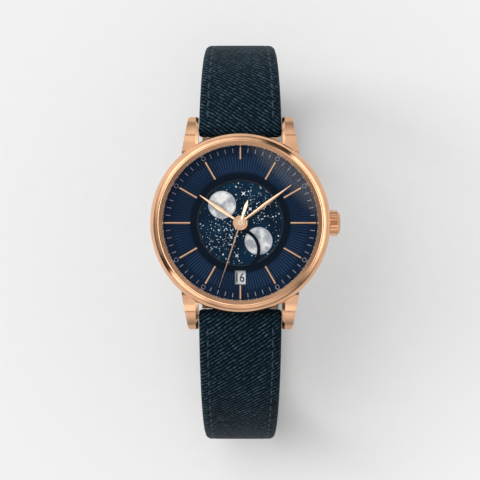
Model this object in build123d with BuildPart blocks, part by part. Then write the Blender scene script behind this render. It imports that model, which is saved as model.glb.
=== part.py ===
# Moon phase watch on a buckled leather strap. Millimetres, +Z out of the dial, +Y to 12 o'clock,
# +X to the crown. The origin is the middle of the case back's outer face.
from build123d import *
import os
from math import asin, cos, degrees, radians, sin, sqrt

os.makedirs("parts", exist_ok=True)

# Case: the movement's radius leads, and the rings round it follow by walls, ledges and gaps
plate_radius = 12.85
holder_wall = 0.95
seat_ledge = 1.1
case_wall = 1.0
bezel_overhang = 1.0
bezel_low_edge = 0.8
bezel_slope_width = 1.65
bezel_height = 2.65
bezel_lip_drop = 0.35
bezel_dome_radius = 2.3
case_draft = 0.4
dial_sink = 0.1
back_bore_inset = 0.4
back_bore_depth = 1.15
fit_gap = 0.03
running_gap = 0.04

# Lugs
lug_gap = 16.0
lug_end = 2.45
lug_tip_width = 1.9
lug_root_width = 3.1
lug_root_share = 0.85
lug_inside_share = 0.66
lug_tip_height = 1.5
lug_tip_round = 0.6
lug_bevel = 0.5
lug_bevel_drop = 0.3
lug_top_drop = 0.25
lug_foot_drop = 0.6
land_half_width = 7.2
land_reach = 0.2
land_margin = 0.5

# Spring bars
bar_roll_gap = 0.2
bar_height = 1.95
bar_tube_radius = 0.75
bar_tube_end_gap = 0.7
bar_pin_radius = 0.4
bar_pin_bite = 0.75
bar_pin_hold = 1.9
bar_spring_wall = 0.15

# Case back and its gasket
back_flange_inset = 0.6
back_flange_height = 0.75
back_bevel_width = 2.4
back_edge_height = 0.35
back_plate_height = 0.9
back_rim_width = 0.7
back_rim_height = 0.75
back_gasket_width = 0.5
pry_notch_width = 3.0
pry_notch_depth = 0.6

# Crystal and the ring round the dial
crystal_inset = 0.4
crystal_gap = 0.02
crystal_thickness = 0.8
crystal_bevel = 0.15
flange_ring_height = 1.55
flange_ring_low_step = 0.2
flange_ring_top_step = 0.1

# Dial
dial_thickness = 0.4
dial_margin = 0.1
window_share = 0.547
arm_width = 0.6
arm_bend_share = 0.4663
arm_bend_place_shares = (-0.0405, -0.6221)
boss_radius = 1.35
date_window_width_share = 0.1613
date_window_height_share = 0.2097
date_window_place_share = 0.8306

# Applied hour markers
marker_width = 0.48
marker_height = 0.35
marker_rim_gap = 0.1
marker_inner_share = 0.6608
marker_mid_share = 0.9231
marker_twelve_share = 0.8392
marker_six_share = 0.8217

# Movement levels, from the dial down
calendar_room = 1.1
plate_thickness = 0.8
train_room = 1.25
bridge_thickness = 0.5

# Movement pieces
plate_rim_width = 3.35
plate_rim_height = 0.56
holder_top_gap = 0.05
pillar_radius = 0.7
pad_radius = 0.9
screw_radius = 0.33
screw_head_radius = 0.55
screw_head_height = 0.25
screw_bite = 0.9
pivot_bite = 0.3
arbor_radius = 0.15

# Motor, battery and circuit: places are shares of the plate's radius, along X and Y
battery_shares = (-0.5136, 0.4358)
pad_shares = (0.4358, -0.7237)
board_shares = (0.1712, 0.6693)
board_length_share = 0.6537
board_width_share = 0.358
battery_radius = 3.4
battery_height = 2.05
battery_floor_gap = 0.325
battery_cap_share = 0.82
battery_cap_height = 0.25
clamp_width = 1.2
clamp_thickness = 0.15
clamp_reach = 4.2
clamp_leg_radius = 0.5
coil_radius = 1.0
coil_length = 6.4
coil_drop = 1.05
core_width = 1.5
core_thickness = 0.5
stator_thickness = 0.25
stator_drop = 0.2
stator_arm = 0.8
stator_ring = 1.55
magnet_radius = 0.7
magnet_height = 0.3
magnet_gap = 0.25
board_thickness = 0.25
board_corner = 0.8
oscillator_radius = 0.6
oscillator_length = 5.0

# Wheels: distances between arbors, then teeth and leaves. Tips and roots are shares of a module,
# and the bridge's pillars stand at shares of the going train's distance
going_distance = 3.4
fifth_distance = 3.0
rotor_distance = 2.1
motion_distance = 2.5
seconds_teeth = 50
seconds_leaves = 8
third_teeth = 60
third_leaves = 8
centre_teeth = 64
fifth_teeth = 36
fifth_leaves = 10
rotor_leaves = 6
cannon_leaves = 12
minute_teeth = 36
minute_leaves = 10
hour_teeth = 40
tip_share = 0.75
root_share = 1.15
wheel_thickness = 0.15
leaf_height = 0.3
level_gap = 0.05
pillar_shares = ((0.2343, 1.2925), (-1.9994, -0.8806), (2.0598, -0.9411))
third_angle = 200.0
fifth_angle = 330.0
minute_wheel_angle = 150.0

# Hands, turned clockwise from 12 o'clock
hour_angle = 304.3
minute_angle = 53.5
seconds_angle = 198.2
hour_length = 9.25
minute_length = 11.9
seconds_length = 12.8
seconds_tail = 4.5
hour_blade_width = 0.72
minute_blade_width = 0.7
seconds_blade_width = 0.24
tail_blade_width = 0.62
blade_thickness = 0.2
blade_edge = 0.08
hub_thickness = 0.3
hand_gap = 0.1
first_hand_gap = 0.2
hour_hub_radius = 1.42
minute_hub_radius = 1.08
seconds_hub_radius = 0.6
hour_pipe_radius = 0.75
cannon_radius = 0.5
seconds_arbor_radius = 0.2
arbor_end = 0.05

# Calendar discs
disc_thickness = 0.15
date_ring_thickness = 0.2
date_ring_inset = 0.45
date_teeth = 31
moon_disc_overlap = 0.35
moon_teeth = 59
calendar_plate_thickness = 0.2
calendar_plate_inset = 0.7
calendar_foot_radius = 0.5
calendar_foot_share = 0.7643

# Crown and stem
crown_radius = 2.45
crown_length = 2.2
crown_gap = 0.75
crown_height = 2.75
crown_flutes = 24
flute_depth = 0.2
crown_ridge_share = 0.28
crown_end_height = 0.5
crown_wall = 0.85
crown_cap = 0.8
tube_radius = 0.8
tube_length = 4.0
stem_radius = 0.5
stem_inner_end = 5.2
stem_bite = 0.35
seal_width = 0.3
lever_share = 0.7004
lever_arm = 4.0
lever_nose_radius = 0.3
lever_hub_radius = 0.8
lever_pin_radius = 0.3
lever_thickness = 0.3
groove_depth = 0.25
groove_width = 0.75

# Strap
strap_side_gap = 0.1
roll_radius = 1.5
strap_lead = 3.0
lining_thickness = 0.8
strap_mid_thickness = 2.2
upper_slope_angle = 25.0
upper_first_bend = 28.0
upper_second_bend = 16.8
upper_mid_width = 13.6
upper_end_thickness = 2.2
lower_slope_angle = 15.0
lower_first_bend = 33.0
lower_mid_width = 14.0
lower_end_thickness = 1.9
buckle_strap_width = 12.0
tail_end_y = 20.5
tip_round = 4.5
layer_gap = 0.1
hem_length = 4.0

# Buckle and keepers
buckle_y = 1.5
buckle_pin_radius = 0.55
buckle_eye_radius = 1.15
buckle_arm_width = 1.5
buckle_side_gap = 0.35
front_bar_reach = 9.1
front_bar_radius = 0.75
front_bar_gap = 0.05
frame_corner = 2.0
tang_width = 1.4
tang_thickness = 0.7
tang_hub_radius = 1.0
tang_slot_gap = 0.2
hole_width = 1.8
hole_length = 2.6
hole_pitch = 6.6
hole_count = 5
tang_hole_y = -0.95
tang_knee_ahead = 0.6
tang_foot_behind = 0.45
keeper_wall = 1.3
keeper_drop = 0.25
keeper_side_gap = 0.3
keeper_width = 4.2
fixed_keeper_y = 7.2
free_keeper_y = 14.2
keeper_play = 0.12
keeper_round = 0.6

# Radii worked out from the sizes above, from the movement outwards
holder_radius = plate_radius + running_gap + holder_wall
holder_bore_radius = holder_radius + 2 * fit_gap
dial_seat_radius = holder_bore_radius + seat_ledge
case_side_radius = dial_seat_radius + case_wall
bezel_radius = case_side_radius + bezel_overhang
bezel_crest_radius = bezel_radius - bezel_slope_width
back_bore_radius = dial_seat_radius - back_bore_inset
back_flange_radius = case_side_radius - back_flange_inset
back_flat_radius = back_flange_radius - back_bevel_width
crystal_radius = dial_seat_radius - crystal_inset
bezel_lip_radius = crystal_radius + crystal_gap
flange_outer_radius = dial_seat_radius - 2 * fit_gap
flange_ring_low_radius = crystal_radius - flange_ring_low_step
flange_ring_top_radius = crystal_radius - flange_ring_top_step
dial_radius = dial_seat_radius - dial_margin
window_radius = window_share * dial_radius
arm_bend_radius = arm_bend_share * window_radius
arm_bend_x = arm_bend_place_shares[0] * window_radius
arm_bend_y = arm_bend_place_shares[1] * window_radius
marker_outer_radius = flange_ring_low_radius - marker_rim_gap
marker_inner_radius = marker_inner_share * marker_outer_radius
marker_mid_radius = marker_mid_share * marker_outer_radius
marker_twelve_radius = marker_twelve_share * marker_outer_radius
marker_six_radius = marker_six_share * marker_outer_radius
date_ring_radius = plate_radius - date_ring_inset
date_window_radius = date_window_place_share * date_ring_radius
date_window_width = date_window_width_share * date_ring_radius
date_window_height = date_window_height_share * date_ring_radius
moon_disc_radius = window_radius + moon_disc_overlap
date_ring_inner_radius = moon_disc_radius + level_gap
calendar_plate_radius = date_ring_inner_radius - calendar_plate_inset
calendar_foot_place = calendar_foot_share * calendar_plate_radius
plate_rim_inner_radius = plate_radius - plate_rim_width

# Lugs and bars: a bar clears the case by its strap's roll, and the lugs reach past the bar
land_radius = case_side_radius + land_reach
bar_offset = land_radius + roll_radius + bar_roll_gap
lug_tip_y = bar_offset + lug_end
lug_root_y = lug_root_share * case_side_radius
bar_tube_length = lug_gap - 2 * bar_tube_end_gap

# Places on the movement's plate
battery_x = battery_shares[0] * plate_radius
battery_y = battery_shares[1] * plate_radius
pad_x = pad_shares[0] * plate_radius
coil_y = pad_shares[1] * plate_radius
board_x = board_shares[0] * plate_radius
board_y = board_shares[1] * plate_radius
board_length = board_length_share * plate_radius
board_width = board_width_share * plate_radius
lever_x = lever_share * plate_radius

# Levels worked out from the sizes above: the battery stands on the case back, the rest on it
case_low = back_flange_height
battery_low = back_plate_height + battery_floor_gap
battery_top = battery_low + battery_height
plate_low = battery_top + level_gap / 2
plate_top = plate_low + plate_thickness
dial_low = plate_top + calendar_room
dial_top = dial_low + dial_thickness
case_top = dial_low + dial_sink
case_height = case_top - case_low
bridge_top = plate_low - train_room
bridge_low = bridge_top - bridge_thickness
ring_top = dial_top + flange_ring_height
crystal_top = ring_top + crystal_thickness
bezel_top = case_top + bezel_height
bar_bore_radius = bar_pin_radius + running_gap
lug_half_gap = lug_gap / 2
cut_reach = 3 * bezel_radius


def disc_with_teeth(teeth, pitch_radius, mate_angle, gap_first, mode=Mode.ADD):
    """A toothed outline whose first tooth, or first gap, points at its mate."""
    module = 2 * pitch_radius / teeth
    tip = pitch_radius + tip_share * module
    root = pitch_radius - root_share * module
    step = 360 / teeth
    start = mate_angle + (step / 2 if gap_first else 0)
    points = []
    for count in range(teeth):
        middle = start + count * step
        for radius, share in ((root, -1 / 2), (tip, 0)):
            angle = radians(middle + share * step)
            points.append((radius * cos(angle), radius * sin(angle)))
    Polygon(*points, align=None, mode=mode)


def turned(outline):
    """A solid of revolution about the dial's axis from radius and height pairs."""
    with BuildPart() as body:
        with BuildSketch(Plane.XZ):
            with BuildLine():
                Polyline(*outline, close=True)
            make_face()
        revolve(axis=Axis.Z)
    return body


def ring(outer, inner, low, high):
    """A plain ring about the dial's axis."""
    with BuildPart() as body:
        with BuildSketch(Plane.XY.offset(low)):
            Circle(outer)
            Circle(inner, mode=Mode.SUBTRACT)
        extrude(amount=high - low)
    return body


# Case middle: a turned ring with four horns, each a plan outline cut to a side profile
lug_outer_tip = lug_half_gap + lug_tip_width
lug_outer_root = lug_half_gap + lug_root_width
lug_inside_y = lug_root_y * lug_inside_share
lug_top = case_top - lug_top_drop
lug_bottom = case_low - lug_foot_drop

with BuildPart() as lug_blank:
    with BuildSketch(Plane.XY):
        with BuildLine():
            Polyline(
                (lug_half_gap, lug_inside_y),
                (lug_half_gap, lug_tip_y),
                (lug_outer_tip, lug_tip_y),
                (lug_outer_root, lug_root_y),
                (lug_outer_root, lug_inside_y),
                close=True,
            )
        make_face()
    extrude(amount=cut_reach, both=True)
    fillet(
        lug_blank.edges().filter_by(Axis.Z).group_by(Axis.Y)[-1].sort_by(Axis.X)[-1],
        radius=lug_tip_round,
    )
    with BuildSketch(Plane.YZ):
        with BuildLine():
            top_start = (lug_root_y, lug_top)
            top_end = (lug_tip_y, lug_bottom + lug_tip_height)
            TangentArc(top_start, top_end, tangent=(1, 0))
            tip_end = (lug_tip_y - lug_tip_round, lug_bottom)
            Line(top_end, tip_end)
            Line(tip_end, (bar_offset - roll_radius, case_low))
            Line((bar_offset - roll_radius, case_low), (lug_inside_y, case_low))
            Line((lug_inside_y, case_low), (lug_inside_y, lug_top))
            Line((lug_inside_y, lug_top), top_start)
        make_face()
    extrude(amount=cut_reach, both=True, mode=Mode.INTERSECT)
    inner_side = lug_blank.faces().sort_by(Axis.X)[0]
    chamfer(
        inner_side.edges().group_by(Axis.Z)[-1] + inner_side.edges().filter_by(GeomType.CIRCLE),
        length=lug_bevel_drop,
        length2=lug_bevel,
    )

with BuildPart() as case_middle:
    with BuildSketch(Plane.XZ):
        with BuildLine():
            Polyline(
                (back_bore_radius, case_low),
                (case_side_radius - case_draft, case_low),
                (case_side_radius, case_top - case_draft),
                (case_side_radius, case_top),
                (dial_seat_radius, case_top),
                (dial_seat_radius, dial_low),
                (holder_bore_radius, dial_low),
                (holder_bore_radius, case_low + back_bore_depth),
                (back_bore_radius, case_low + back_bore_depth),
                close=True,
            )
        make_face()
    revolve(axis=Axis.Z)
    with BuildSketch(Plane.XY.offset(case_low + land_margin)):
        Rectangle(2 * land_half_width, 2 * land_radius)
        Circle(back_bore_radius + fit_gap, mode=Mode.SUBTRACT)
    extrude(amount=case_height - 2 * land_margin)
    add(lug_blank.part)
    add(mirror(lug_blank.part, about=Plane.YZ, mode=Mode.PRIVATE))
    add(mirror(lug_blank.part, about=Plane.XZ, mode=Mode.PRIVATE))
    add(mirror(mirror(lug_blank.part, about=Plane.YZ, mode=Mode.PRIVATE), about=Plane.XZ, mode=Mode.PRIVATE))
    with BuildSketch(Plane.XY.offset(case_low)):
        Circle(back_bore_radius)
    extrude(amount=back_bore_depth, mode=Mode.SUBTRACT)
    with BuildSketch(Plane.XY.offset(case_low)):
        Circle(holder_bore_radius)
    extrude(amount=case_height, mode=Mode.SUBTRACT)
    for side in (-1, 1):
        for hand in (-1, 1):
            pin_end = Plane(
                (hand * (lug_half_gap + bar_pin_bite + running_gap), side * bar_offset, bar_height),
                x_dir=(0, 1, 0),
                z_dir=(-hand, 0, 0),
            )
            with BuildSketch(pin_end):
                Circle(bar_pin_radius + running_gap)
            extrude(amount=bar_pin_bite + running_gap, mode=Mode.SUBTRACT)
    crown_plane = Plane((0, 0, crown_height), x_dir=(0, 1, 0), z_dir=(1, 0, 0))
    with BuildSketch(crown_plane.offset(holder_bore_radius - bar_pin_bite)):
        Circle(tube_radius)
    extrude(amount=case_side_radius - holder_bore_radius + 2 * bar_pin_bite, mode=Mode.SUBTRACT)
case_middle.part.label = "case_middle"
export_step(case_middle.part, "parts/case_middle.step")

# Bezel: a domed ring with a bright inner lip, holding the crystal and closing over the dial
with BuildPart() as bezel:
    with BuildSketch(Plane.XZ):
        with BuildLine():
            rim = (bezel_radius, case_top + bezel_low_edge)
            crest = (bezel_crest_radius, bezel_top)
            RadiusArc(rim, crest, -bezel_dome_radius)
            Polyline(
                crest,
                (bezel_lip_radius, bezel_top - bezel_lip_drop),
                (bezel_lip_radius, ring_top),
                (flange_outer_radius, ring_top),
                (flange_outer_radius, case_top),
                (bezel_radius - bezel_low_edge / 2, case_top),
                rim,
            )
        make_face()
    revolve(axis=Axis.Z)
bezel.part.label = "bezel"
export_step(bezel.part, "parts/bezel.step")

# Case back: flat outside, bevelled edge, snap rim inside and a notch for the opening knife
back_rim_radius = back_bore_radius - fit_gap
with BuildPart() as case_back:
    with BuildSketch(Plane.XZ):
        with BuildLine():
            Polyline(
                (0, 0),
                (back_flat_radius, 0),
                (back_flange_radius, back_edge_height),
                (back_flange_radius, case_low),
                (back_rim_radius, case_low),
                (back_rim_radius, case_low + back_rim_height),
                (back_rim_radius - back_rim_width, case_low + back_rim_height),
                (back_rim_radius - back_rim_width, back_plate_height),
                (0, back_plate_height),
                close=True,
            )
        make_face()
    revolve(axis=Axis.Z)
    with BuildSketch(Plane.XY.offset(back_edge_height)):
        with Locations((0, -back_flange_radius)):
            Rectangle(pry_notch_width, pry_notch_depth)
    extrude(amount=case_low - back_edge_height, mode=Mode.SUBTRACT)
case_back.part.label = "case_back"
export_step(case_back.part, "parts/case_back.step")

back_gasket = ring(
    back_rim_radius,
    back_rim_radius - back_gasket_width,
    case_low + back_rim_height,
    case_low + back_bore_depth,
)
back_gasket.part.label = "back_gasket"
export_step(back_gasket.part, "parts/back_gasket.step")

# Crystal: a flat disc with a bevelled edge, bonded in the bezel above the dial ring
with BuildPart() as crystal:
    with BuildSketch(Plane.XZ):
        with BuildLine():
            Polyline(
                (0, ring_top),
                (crystal_radius, ring_top),
                (crystal_radius, crystal_top - crystal_bevel),
                (crystal_radius - crystal_bevel, crystal_top),
                (0, crystal_top),
                close=True,
            )
        make_face()
    revolve(axis=Axis.Z)
crystal.part.label = "crystal"
export_step(crystal.part, "parts/crystal.step")

# The sloping polished ring between the dial and the crystal
dial_ring = turned(
    (
        (flange_ring_low_radius, dial_top),
        (flange_outer_radius, dial_top),
        (flange_outer_radius, ring_top),
        (flange_ring_top_radius, ring_top),
    )
)
dial_ring.part.label = "dial_ring"
export_step(dial_ring.part, "parts/dial_ring.step")

# Dial: open at its middle for the moon disc, with one curved arm from the rim to a boss
moon_bore_radius = hour_pipe_radius + running_gap
with BuildPart() as dial:
    with BuildSketch(Plane.XY.offset(dial_low)) as arm_sketch:
        with Locations((arm_bend_x, arm_bend_y)):
            Circle(arm_bend_radius + arm_width / 2)
            Circle(arm_bend_radius - arm_width / 2, mode=Mode.SUBTRACT)
        with Locations((window_radius, -window_radius)):
            Rectangle(2 * window_radius, 2 * window_radius, mode=Mode.INTERSECT)
        Circle(window_radius + arm_width / 2, mode=Mode.INTERSECT)
        Circle(boss_radius)
    extrude(amount=dial_thickness)
    with BuildSketch(Plane.XY.offset(dial_low)):
        Circle(dial_radius)
        Circle(window_radius, mode=Mode.SUBTRACT)
    extrude(amount=dial_thickness)
    with BuildSketch(Plane.XY.offset(dial_low)):
        Circle(moon_bore_radius + running_gap)
        with Locations((0, -date_window_radius)):
            Rectangle(date_window_width, date_window_height)
    extrude(amount=dial_thickness, mode=Mode.SUBTRACT)
dial.part.label = "dial"
export_step(dial.part, "parts/dial.step")

# Applied markers: batons with a roof, one solid at each hour, clockwise from 12 o'clock
short_span = (marker_inner_radius, marker_mid_radius)
long_span = (marker_inner_radius, marker_outer_radius)
quarter = (short_span, short_span, long_span, short_span, short_span)
marker_spans = (
    (marker_twelve_radius, marker_outer_radius),
    *quarter,
    (marker_six_radius, marker_outer_radius),
    *quarter,
)
marker_flat_share = 0.4
marker_wall_share = 0.5
with BuildPart() as hour_markers:
    for hour, (near, far) in enumerate(marker_spans):
        pointing = Plane.XY.offset(dial_top).rotated((0, 0, 90 - hour * 360 / len(marker_spans)))
        across = Plane(pointing.from_local_coords((near, 0)), x_dir=pointing.y_dir, z_dir=pointing.x_dir)
        with BuildSketch(across):
            with BuildLine():
                Polyline(
                    (-marker_width / 2, 0),
                    (marker_width / 2, 0),
                    (marker_width / 2, marker_wall_share * marker_height),
                    (marker_flat_share * marker_width / 2, marker_height),
                    (-marker_flat_share * marker_width / 2, marker_height),
                    (-marker_width / 2, marker_wall_share * marker_height),
                    close=True,
                )
            make_face()
        extrude(amount=far - near)
hour_markers.part.label = "hour_markers"
export_step(hour_markers.part, "parts/hour_markers.step")

# Movement holder: plastic ring between the plate and the case, open for the stem
with BuildPart() as movement_holder:
    with BuildSketch(Plane.XY.offset(case_low + back_bore_depth + fit_gap)):
        Circle(holder_radius)
        Circle(holder_radius - holder_wall, mode=Mode.SUBTRACT)
    extrude(amount=dial_low - holder_top_gap - case_low - back_bore_depth - fit_gap)
    with BuildSketch(crown_plane):
        Circle(tube_radius)
    extrude(amount=bezel_radius, mode=Mode.SUBTRACT)
movement_holder.part.label = "movement_holder"
export_step(movement_holder.part, "parts/movement_holder.step")

# Places of the arbors and pillars, seen from the dial
third_x = going_distance * cos(radians(third_angle))
third_y = going_distance * sin(radians(third_angle))
fifth_x = fifth_distance * cos(radians(fifth_angle))
fifth_y = fifth_distance * sin(radians(fifth_angle))
rotor_x = fifth_x + rotor_distance * cos(radians(fifth_angle))
rotor_y = fifth_y + rotor_distance * sin(radians(fifth_angle))
minute_x = motion_distance * cos(radians(minute_wheel_angle))
minute_y = motion_distance * sin(radians(minute_wheel_angle))
arbor_places = ((third_x, third_y), (fifth_x, fifth_y), (rotor_x, rotor_y))
pillar_places = [(x * going_distance, y * going_distance) for x, y in pillar_shares]
arbor_bore = arbor_radius + running_gap / 2
lever_y = stem_radius - groove_depth + level_gap + lever_nose_radius + lever_arm

# Main plate: calendar side up, with bores, a stud for the minute wheel and the setting lever's pin
with BuildPart() as main_plate:
    with BuildSketch(Plane.XY.offset(plate_low)):
        Circle(plate_radius)
    extrude(amount=plate_thickness)
    with BuildSketch(Plane.XY.offset(plate_top)):
        Circle(plate_radius)
        Circle(plate_rim_inner_radius, mode=Mode.SUBTRACT)
    extrude(amount=plate_rim_height)
    with BuildSketch(Plane.XY.offset(plate_top)):
        with Locations((minute_x, minute_y)):
            Circle(seconds_arbor_radius)
    extrude(amount=plate_rim_height)
    with BuildSketch(Plane.XY.offset(plate_low)):
        with Locations((lever_x, lever_y)):
            Circle(lever_pin_radius)
    extrude(amount=-(plate_low - crown_height) - lever_thickness / 2)
    guide_x = (lever_x + plate_radius) / 2
    with BuildSketch(Plane.XY.offset(crown_height - 2 * stem_radius)):
        with Locations((guide_x + groove_width, 0)):
            Rectangle(2 * lever_hub_radius, 4 * stem_radius)
    extrude(amount=plate_low - crown_height + 2 * stem_radius)
    with BuildSketch(crown_plane):
        Circle(stem_radius + running_gap)
    extrude(amount=bezel_radius, mode=Mode.SUBTRACT)
    with BuildSketch(Plane.XY.offset(plate_low)):
        Circle(cannon_radius + running_gap)
    extrude(amount=plate_thickness, mode=Mode.SUBTRACT)
    with BuildSketch(Plane.XY.offset(plate_low)):
        with Locations(*arbor_places):
            Circle(arbor_bore)
    extrude(amount=pivot_bite + level_gap, mode=Mode.SUBTRACT)
main_plate.part.label = "main_plate"
export_step(main_plate.part, "parts/main_plate.step")

# Train bridge: a plate on three pillars under the wheels
with BuildPart() as train_bridge:
    with BuildSketch(Plane.XY.offset(bridge_low)):
        with Locations(*pillar_places):
            Circle(pad_radius)
        make_hull()
    extrude(amount=bridge_thickness)
    with BuildSketch(Plane.XY.offset(bridge_top)):
        with Locations(*pillar_places):
            Circle(pillar_radius)
    extrude(amount=train_room)
    with BuildSketch(Plane.XY.offset(bridge_low)):
        with Locations(*pillar_places):
            Circle(screw_radius)
    extrude(amount=screw_bite, mode=Mode.SUBTRACT)
    with BuildSketch(Plane.XY.offset(bridge_top)):
        with Locations((0, 0), *arbor_places):
            Circle(arbor_bore)
    extrude(amount=-pivot_bite - level_gap, mode=Mode.SUBTRACT)
train_bridge.part.label = "train_bridge"
export_step(train_bridge.part, "parts/train_bridge.step")

with BuildPart() as bridge_screws:
    with BuildSketch(Plane.XY.offset(bridge_low)):
        with Locations(*pillar_places):
            Circle(screw_radius - fit_gap)
    extrude(amount=screw_bite - level_gap)
    with BuildSketch(Plane.XY.offset(bridge_low)):
        with Locations(*pillar_places):
            Circle(screw_head_radius)
            Rectangle(2 * screw_head_radius, screw_radius / 2, mode=Mode.SUBTRACT)
    extrude(amount=-screw_head_height)
bridge_screws.part.label = "bridge_screws"
export_step(bridge_screws.part, "parts/bridge_screws.step")

# Battery, with its narrower cap below, and the clamp that holds it
with BuildPart() as battery:
    with BuildSketch(Plane((battery_x, battery_y, battery_low + battery_cap_height))):
        Circle(battery_radius)
    extrude(amount=battery_height - battery_cap_height)
    with BuildSketch(Plane((battery_x, battery_y, battery_low))):
        Circle(battery_cap_share * battery_radius)
    extrude(amount=battery_cap_height)
battery.part.label = "battery"
export_step(battery.part, "parts/battery.step")

with BuildPart() as battery_clamp:
    with BuildSketch(Plane((battery_x, battery_y, battery_low))):
        with Locations((clamp_reach / 2, 0)):
            SlotOverall(clamp_reach + clamp_width, clamp_width)
    extrude(amount=-clamp_thickness)
    with BuildSketch(Plane((battery_x + clamp_reach, battery_y, battery_low))):
        Circle(clamp_leg_radius)
    extrude(amount=plate_low - battery_low)
battery_clamp.part.label = "battery_clamp"
export_step(battery_clamp.part, "parts/battery_clamp.step")

# Stepping motor: winding on its core, and the stator plate that leads the field to the rotor
coil_height = plate_low - coil_drop
stator_top = plate_low - stator_drop
stator_low = stator_top - stator_thickness
core_low = coil_height - core_thickness / 2
with BuildPart() as coil_core:
    with BuildSketch(Plane((0, coil_y, core_low))):
        SlotOverall(2 * pad_x + core_width, core_width)
    extrude(amount=core_thickness)
    with BuildSketch(Plane((0, coil_y, core_low))):
        with Locations((-pad_x, 0), (pad_x, 0)):
            Circle(core_width / 2)
    extrude(amount=stator_low - core_low)
coil_core.part.label = "coil_core"
export_step(coil_core.part, "parts/coil_core.step")

with BuildPart() as coil_winding:
    with BuildSketch(Plane((-coil_length / 2, coil_y, coil_height), x_dir=(0, 1, 0), z_dir=(1, 0, 0))):
        Circle(coil_radius)
        Rectangle(core_width, core_thickness, mode=Mode.SUBTRACT)
    extrude(amount=coil_length)
coil_winding.part.label = "coil_winding"
export_step(coil_winding.part, "parts/coil_winding.step")

stator_path_shares = ((-1.0, 1.0), (-0.68, 0.71), (0.29, 0.63))
stator_path = [(x * pad_x, y * coil_y) for x, y in stator_path_shares] + [(rotor_x, rotor_y)]


def link(start, end, start_radius, end_radius):
    """A tapered link with round ends, drawn in the sketch that is open."""
    with BuildSketch(mode=Mode.PRIVATE) as shape:
        with Locations(start):
            Circle(start_radius)
        with Locations(end):
            Circle(end_radius)
        make_hull()
    return shape.sketch


with BuildPart() as stator:
    with BuildSketch(Plane.XY.offset(stator_low)):
        for start, end in zip(stator_path[:-2], stator_path[1:-1]):
            add(link(start, end, stator_arm, stator_arm))
        add(link(stator_path[-2], stator_path[-1], stator_arm, stator_ring))
        add(link(stator_path[-1], (pad_x, coil_y), stator_ring, stator_arm))
        with Locations((rotor_x, rotor_y)):
            Circle(magnet_radius + magnet_gap, mode=Mode.SUBTRACT)
    extrude(amount=stator_thickness)
stator.part.label = "stator"
export_step(stator.part, "parts/stator.step")

# Circuit board under the plate, with its chip, and the quartz oscillator's can below it
board_low = plate_low - board_thickness
with BuildPart() as circuit_board:
    with BuildSketch(Plane((board_x, board_y, board_low))):
        RectangleRounded(board_length, board_width, board_corner)
    extrude(amount=board_thickness)
    with BuildSketch(Plane((board_x, board_y - board_width / 4, board_low))):
        Rectangle(board_width / 2, board_width / 3)
    extrude(amount=-oscillator_radius)
circuit_board.part.label = "circuit_board"
export_step(circuit_board.part, "parts/circuit_board.step")

with BuildPart() as quartz_oscillator:
    oscillator_y = board_y + board_width / 2 - 2 * oscillator_radius
    oscillator_z = board_low - oscillator_radius - fit_gap
    can_end = (board_x - oscillator_length / 2, oscillator_y, oscillator_z)
    with BuildSketch(Plane(can_end, x_dir=(0, 1, 0), z_dir=(1, 0, 0))):
        Circle(oscillator_radius)
    extrude(amount=oscillator_length)
quartz_oscillator.part.label = "quartz_oscillator"
export_step(quartz_oscillator.part, "parts/quartz_oscillator.step")

# Going train. Each wheel is named by where it runs, from the rotor to the centre wheel
seconds_wheel_pitch = fifth_distance * seconds_teeth / (seconds_teeth + fifth_leaves)
fifth_pinion_pitch = fifth_distance - seconds_wheel_pitch
seconds_pinion_pitch = going_distance * seconds_leaves / (seconds_leaves + third_teeth)
third_wheel_pitch = going_distance - seconds_pinion_pitch
third_pinion_pitch = going_distance * third_leaves / (third_leaves + centre_teeth)
centre_wheel_pitch = going_distance - third_pinion_pitch
rotor_pinion_pitch = rotor_distance * rotor_leaves / (rotor_leaves + fifth_teeth)
fifth_wheel_pitch = rotor_distance - rotor_pinion_pitch
seconds_level = bridge_top + wheel_thickness
third_level = seconds_level + wheel_thickness + 4 * level_gap
centre_level = third_level + 2 * wheel_thickness + level_gap

hour_low = dial_top + first_hand_gap
minute_low = hour_low + hub_thickness + hand_gap
seconds_low = minute_low + hub_thickness + hand_gap

with BuildPart() as seconds_wheel:
    with BuildSketch(Plane.XY.offset(seconds_level)):
        disc_with_teeth(seconds_teeth, seconds_wheel_pitch, fifth_angle, False)
    extrude(amount=wheel_thickness)
    with BuildSketch(Plane.XY.offset(seconds_level + wheel_thickness)):
        disc_with_teeth(seconds_leaves, seconds_pinion_pitch, third_angle, True)
    extrude(amount=leaf_height + level_gap)
    with BuildSketch(Plane.XY.offset(seconds_level)):
        Circle(seconds_arbor_radius)
    extrude(amount=seconds_low + hub_thickness + arbor_end - seconds_level)
    with BuildSketch(Plane.XY.offset(bridge_top - pivot_bite)):
        Circle(arbor_radius)
    extrude(amount=pivot_bite + wheel_thickness)
seconds_wheel.part.label = "seconds_wheel"
export_step(seconds_wheel.part, "parts/seconds_wheel.step")


def wheel_on_arbor(place, levels):
    """An arbor from bridge to plate that carries toothed discs: teeth, pitch, mate, gap, low, high."""
    with BuildPart() as body:
        with BuildSketch(Plane((*place, bridge_top - pivot_bite))):
            Circle(arbor_radius)
        extrude(amount=train_room + 2 * pivot_bite)
        for teeth, pitch_radius, mate_angle, gap_first, low, height in levels:
            with BuildSketch(Plane((*place, low))):
                disc_with_teeth(teeth, pitch_radius, mate_angle, gap_first)
            extrude(amount=height)
    return body


third_wheel = wheel_on_arbor(
    (third_x, third_y),
    (
        (third_teeth, third_wheel_pitch, third_angle + 180, False, third_level, wheel_thickness),
        (
            third_leaves,
            third_pinion_pitch,
            third_angle + 180,
            True,
            third_level + wheel_thickness,
            centre_level + wheel_thickness - third_level,
        ),
    ),
)
third_wheel.part.label = "third_wheel"
export_step(third_wheel.part, "parts/third_wheel.step")

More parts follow.
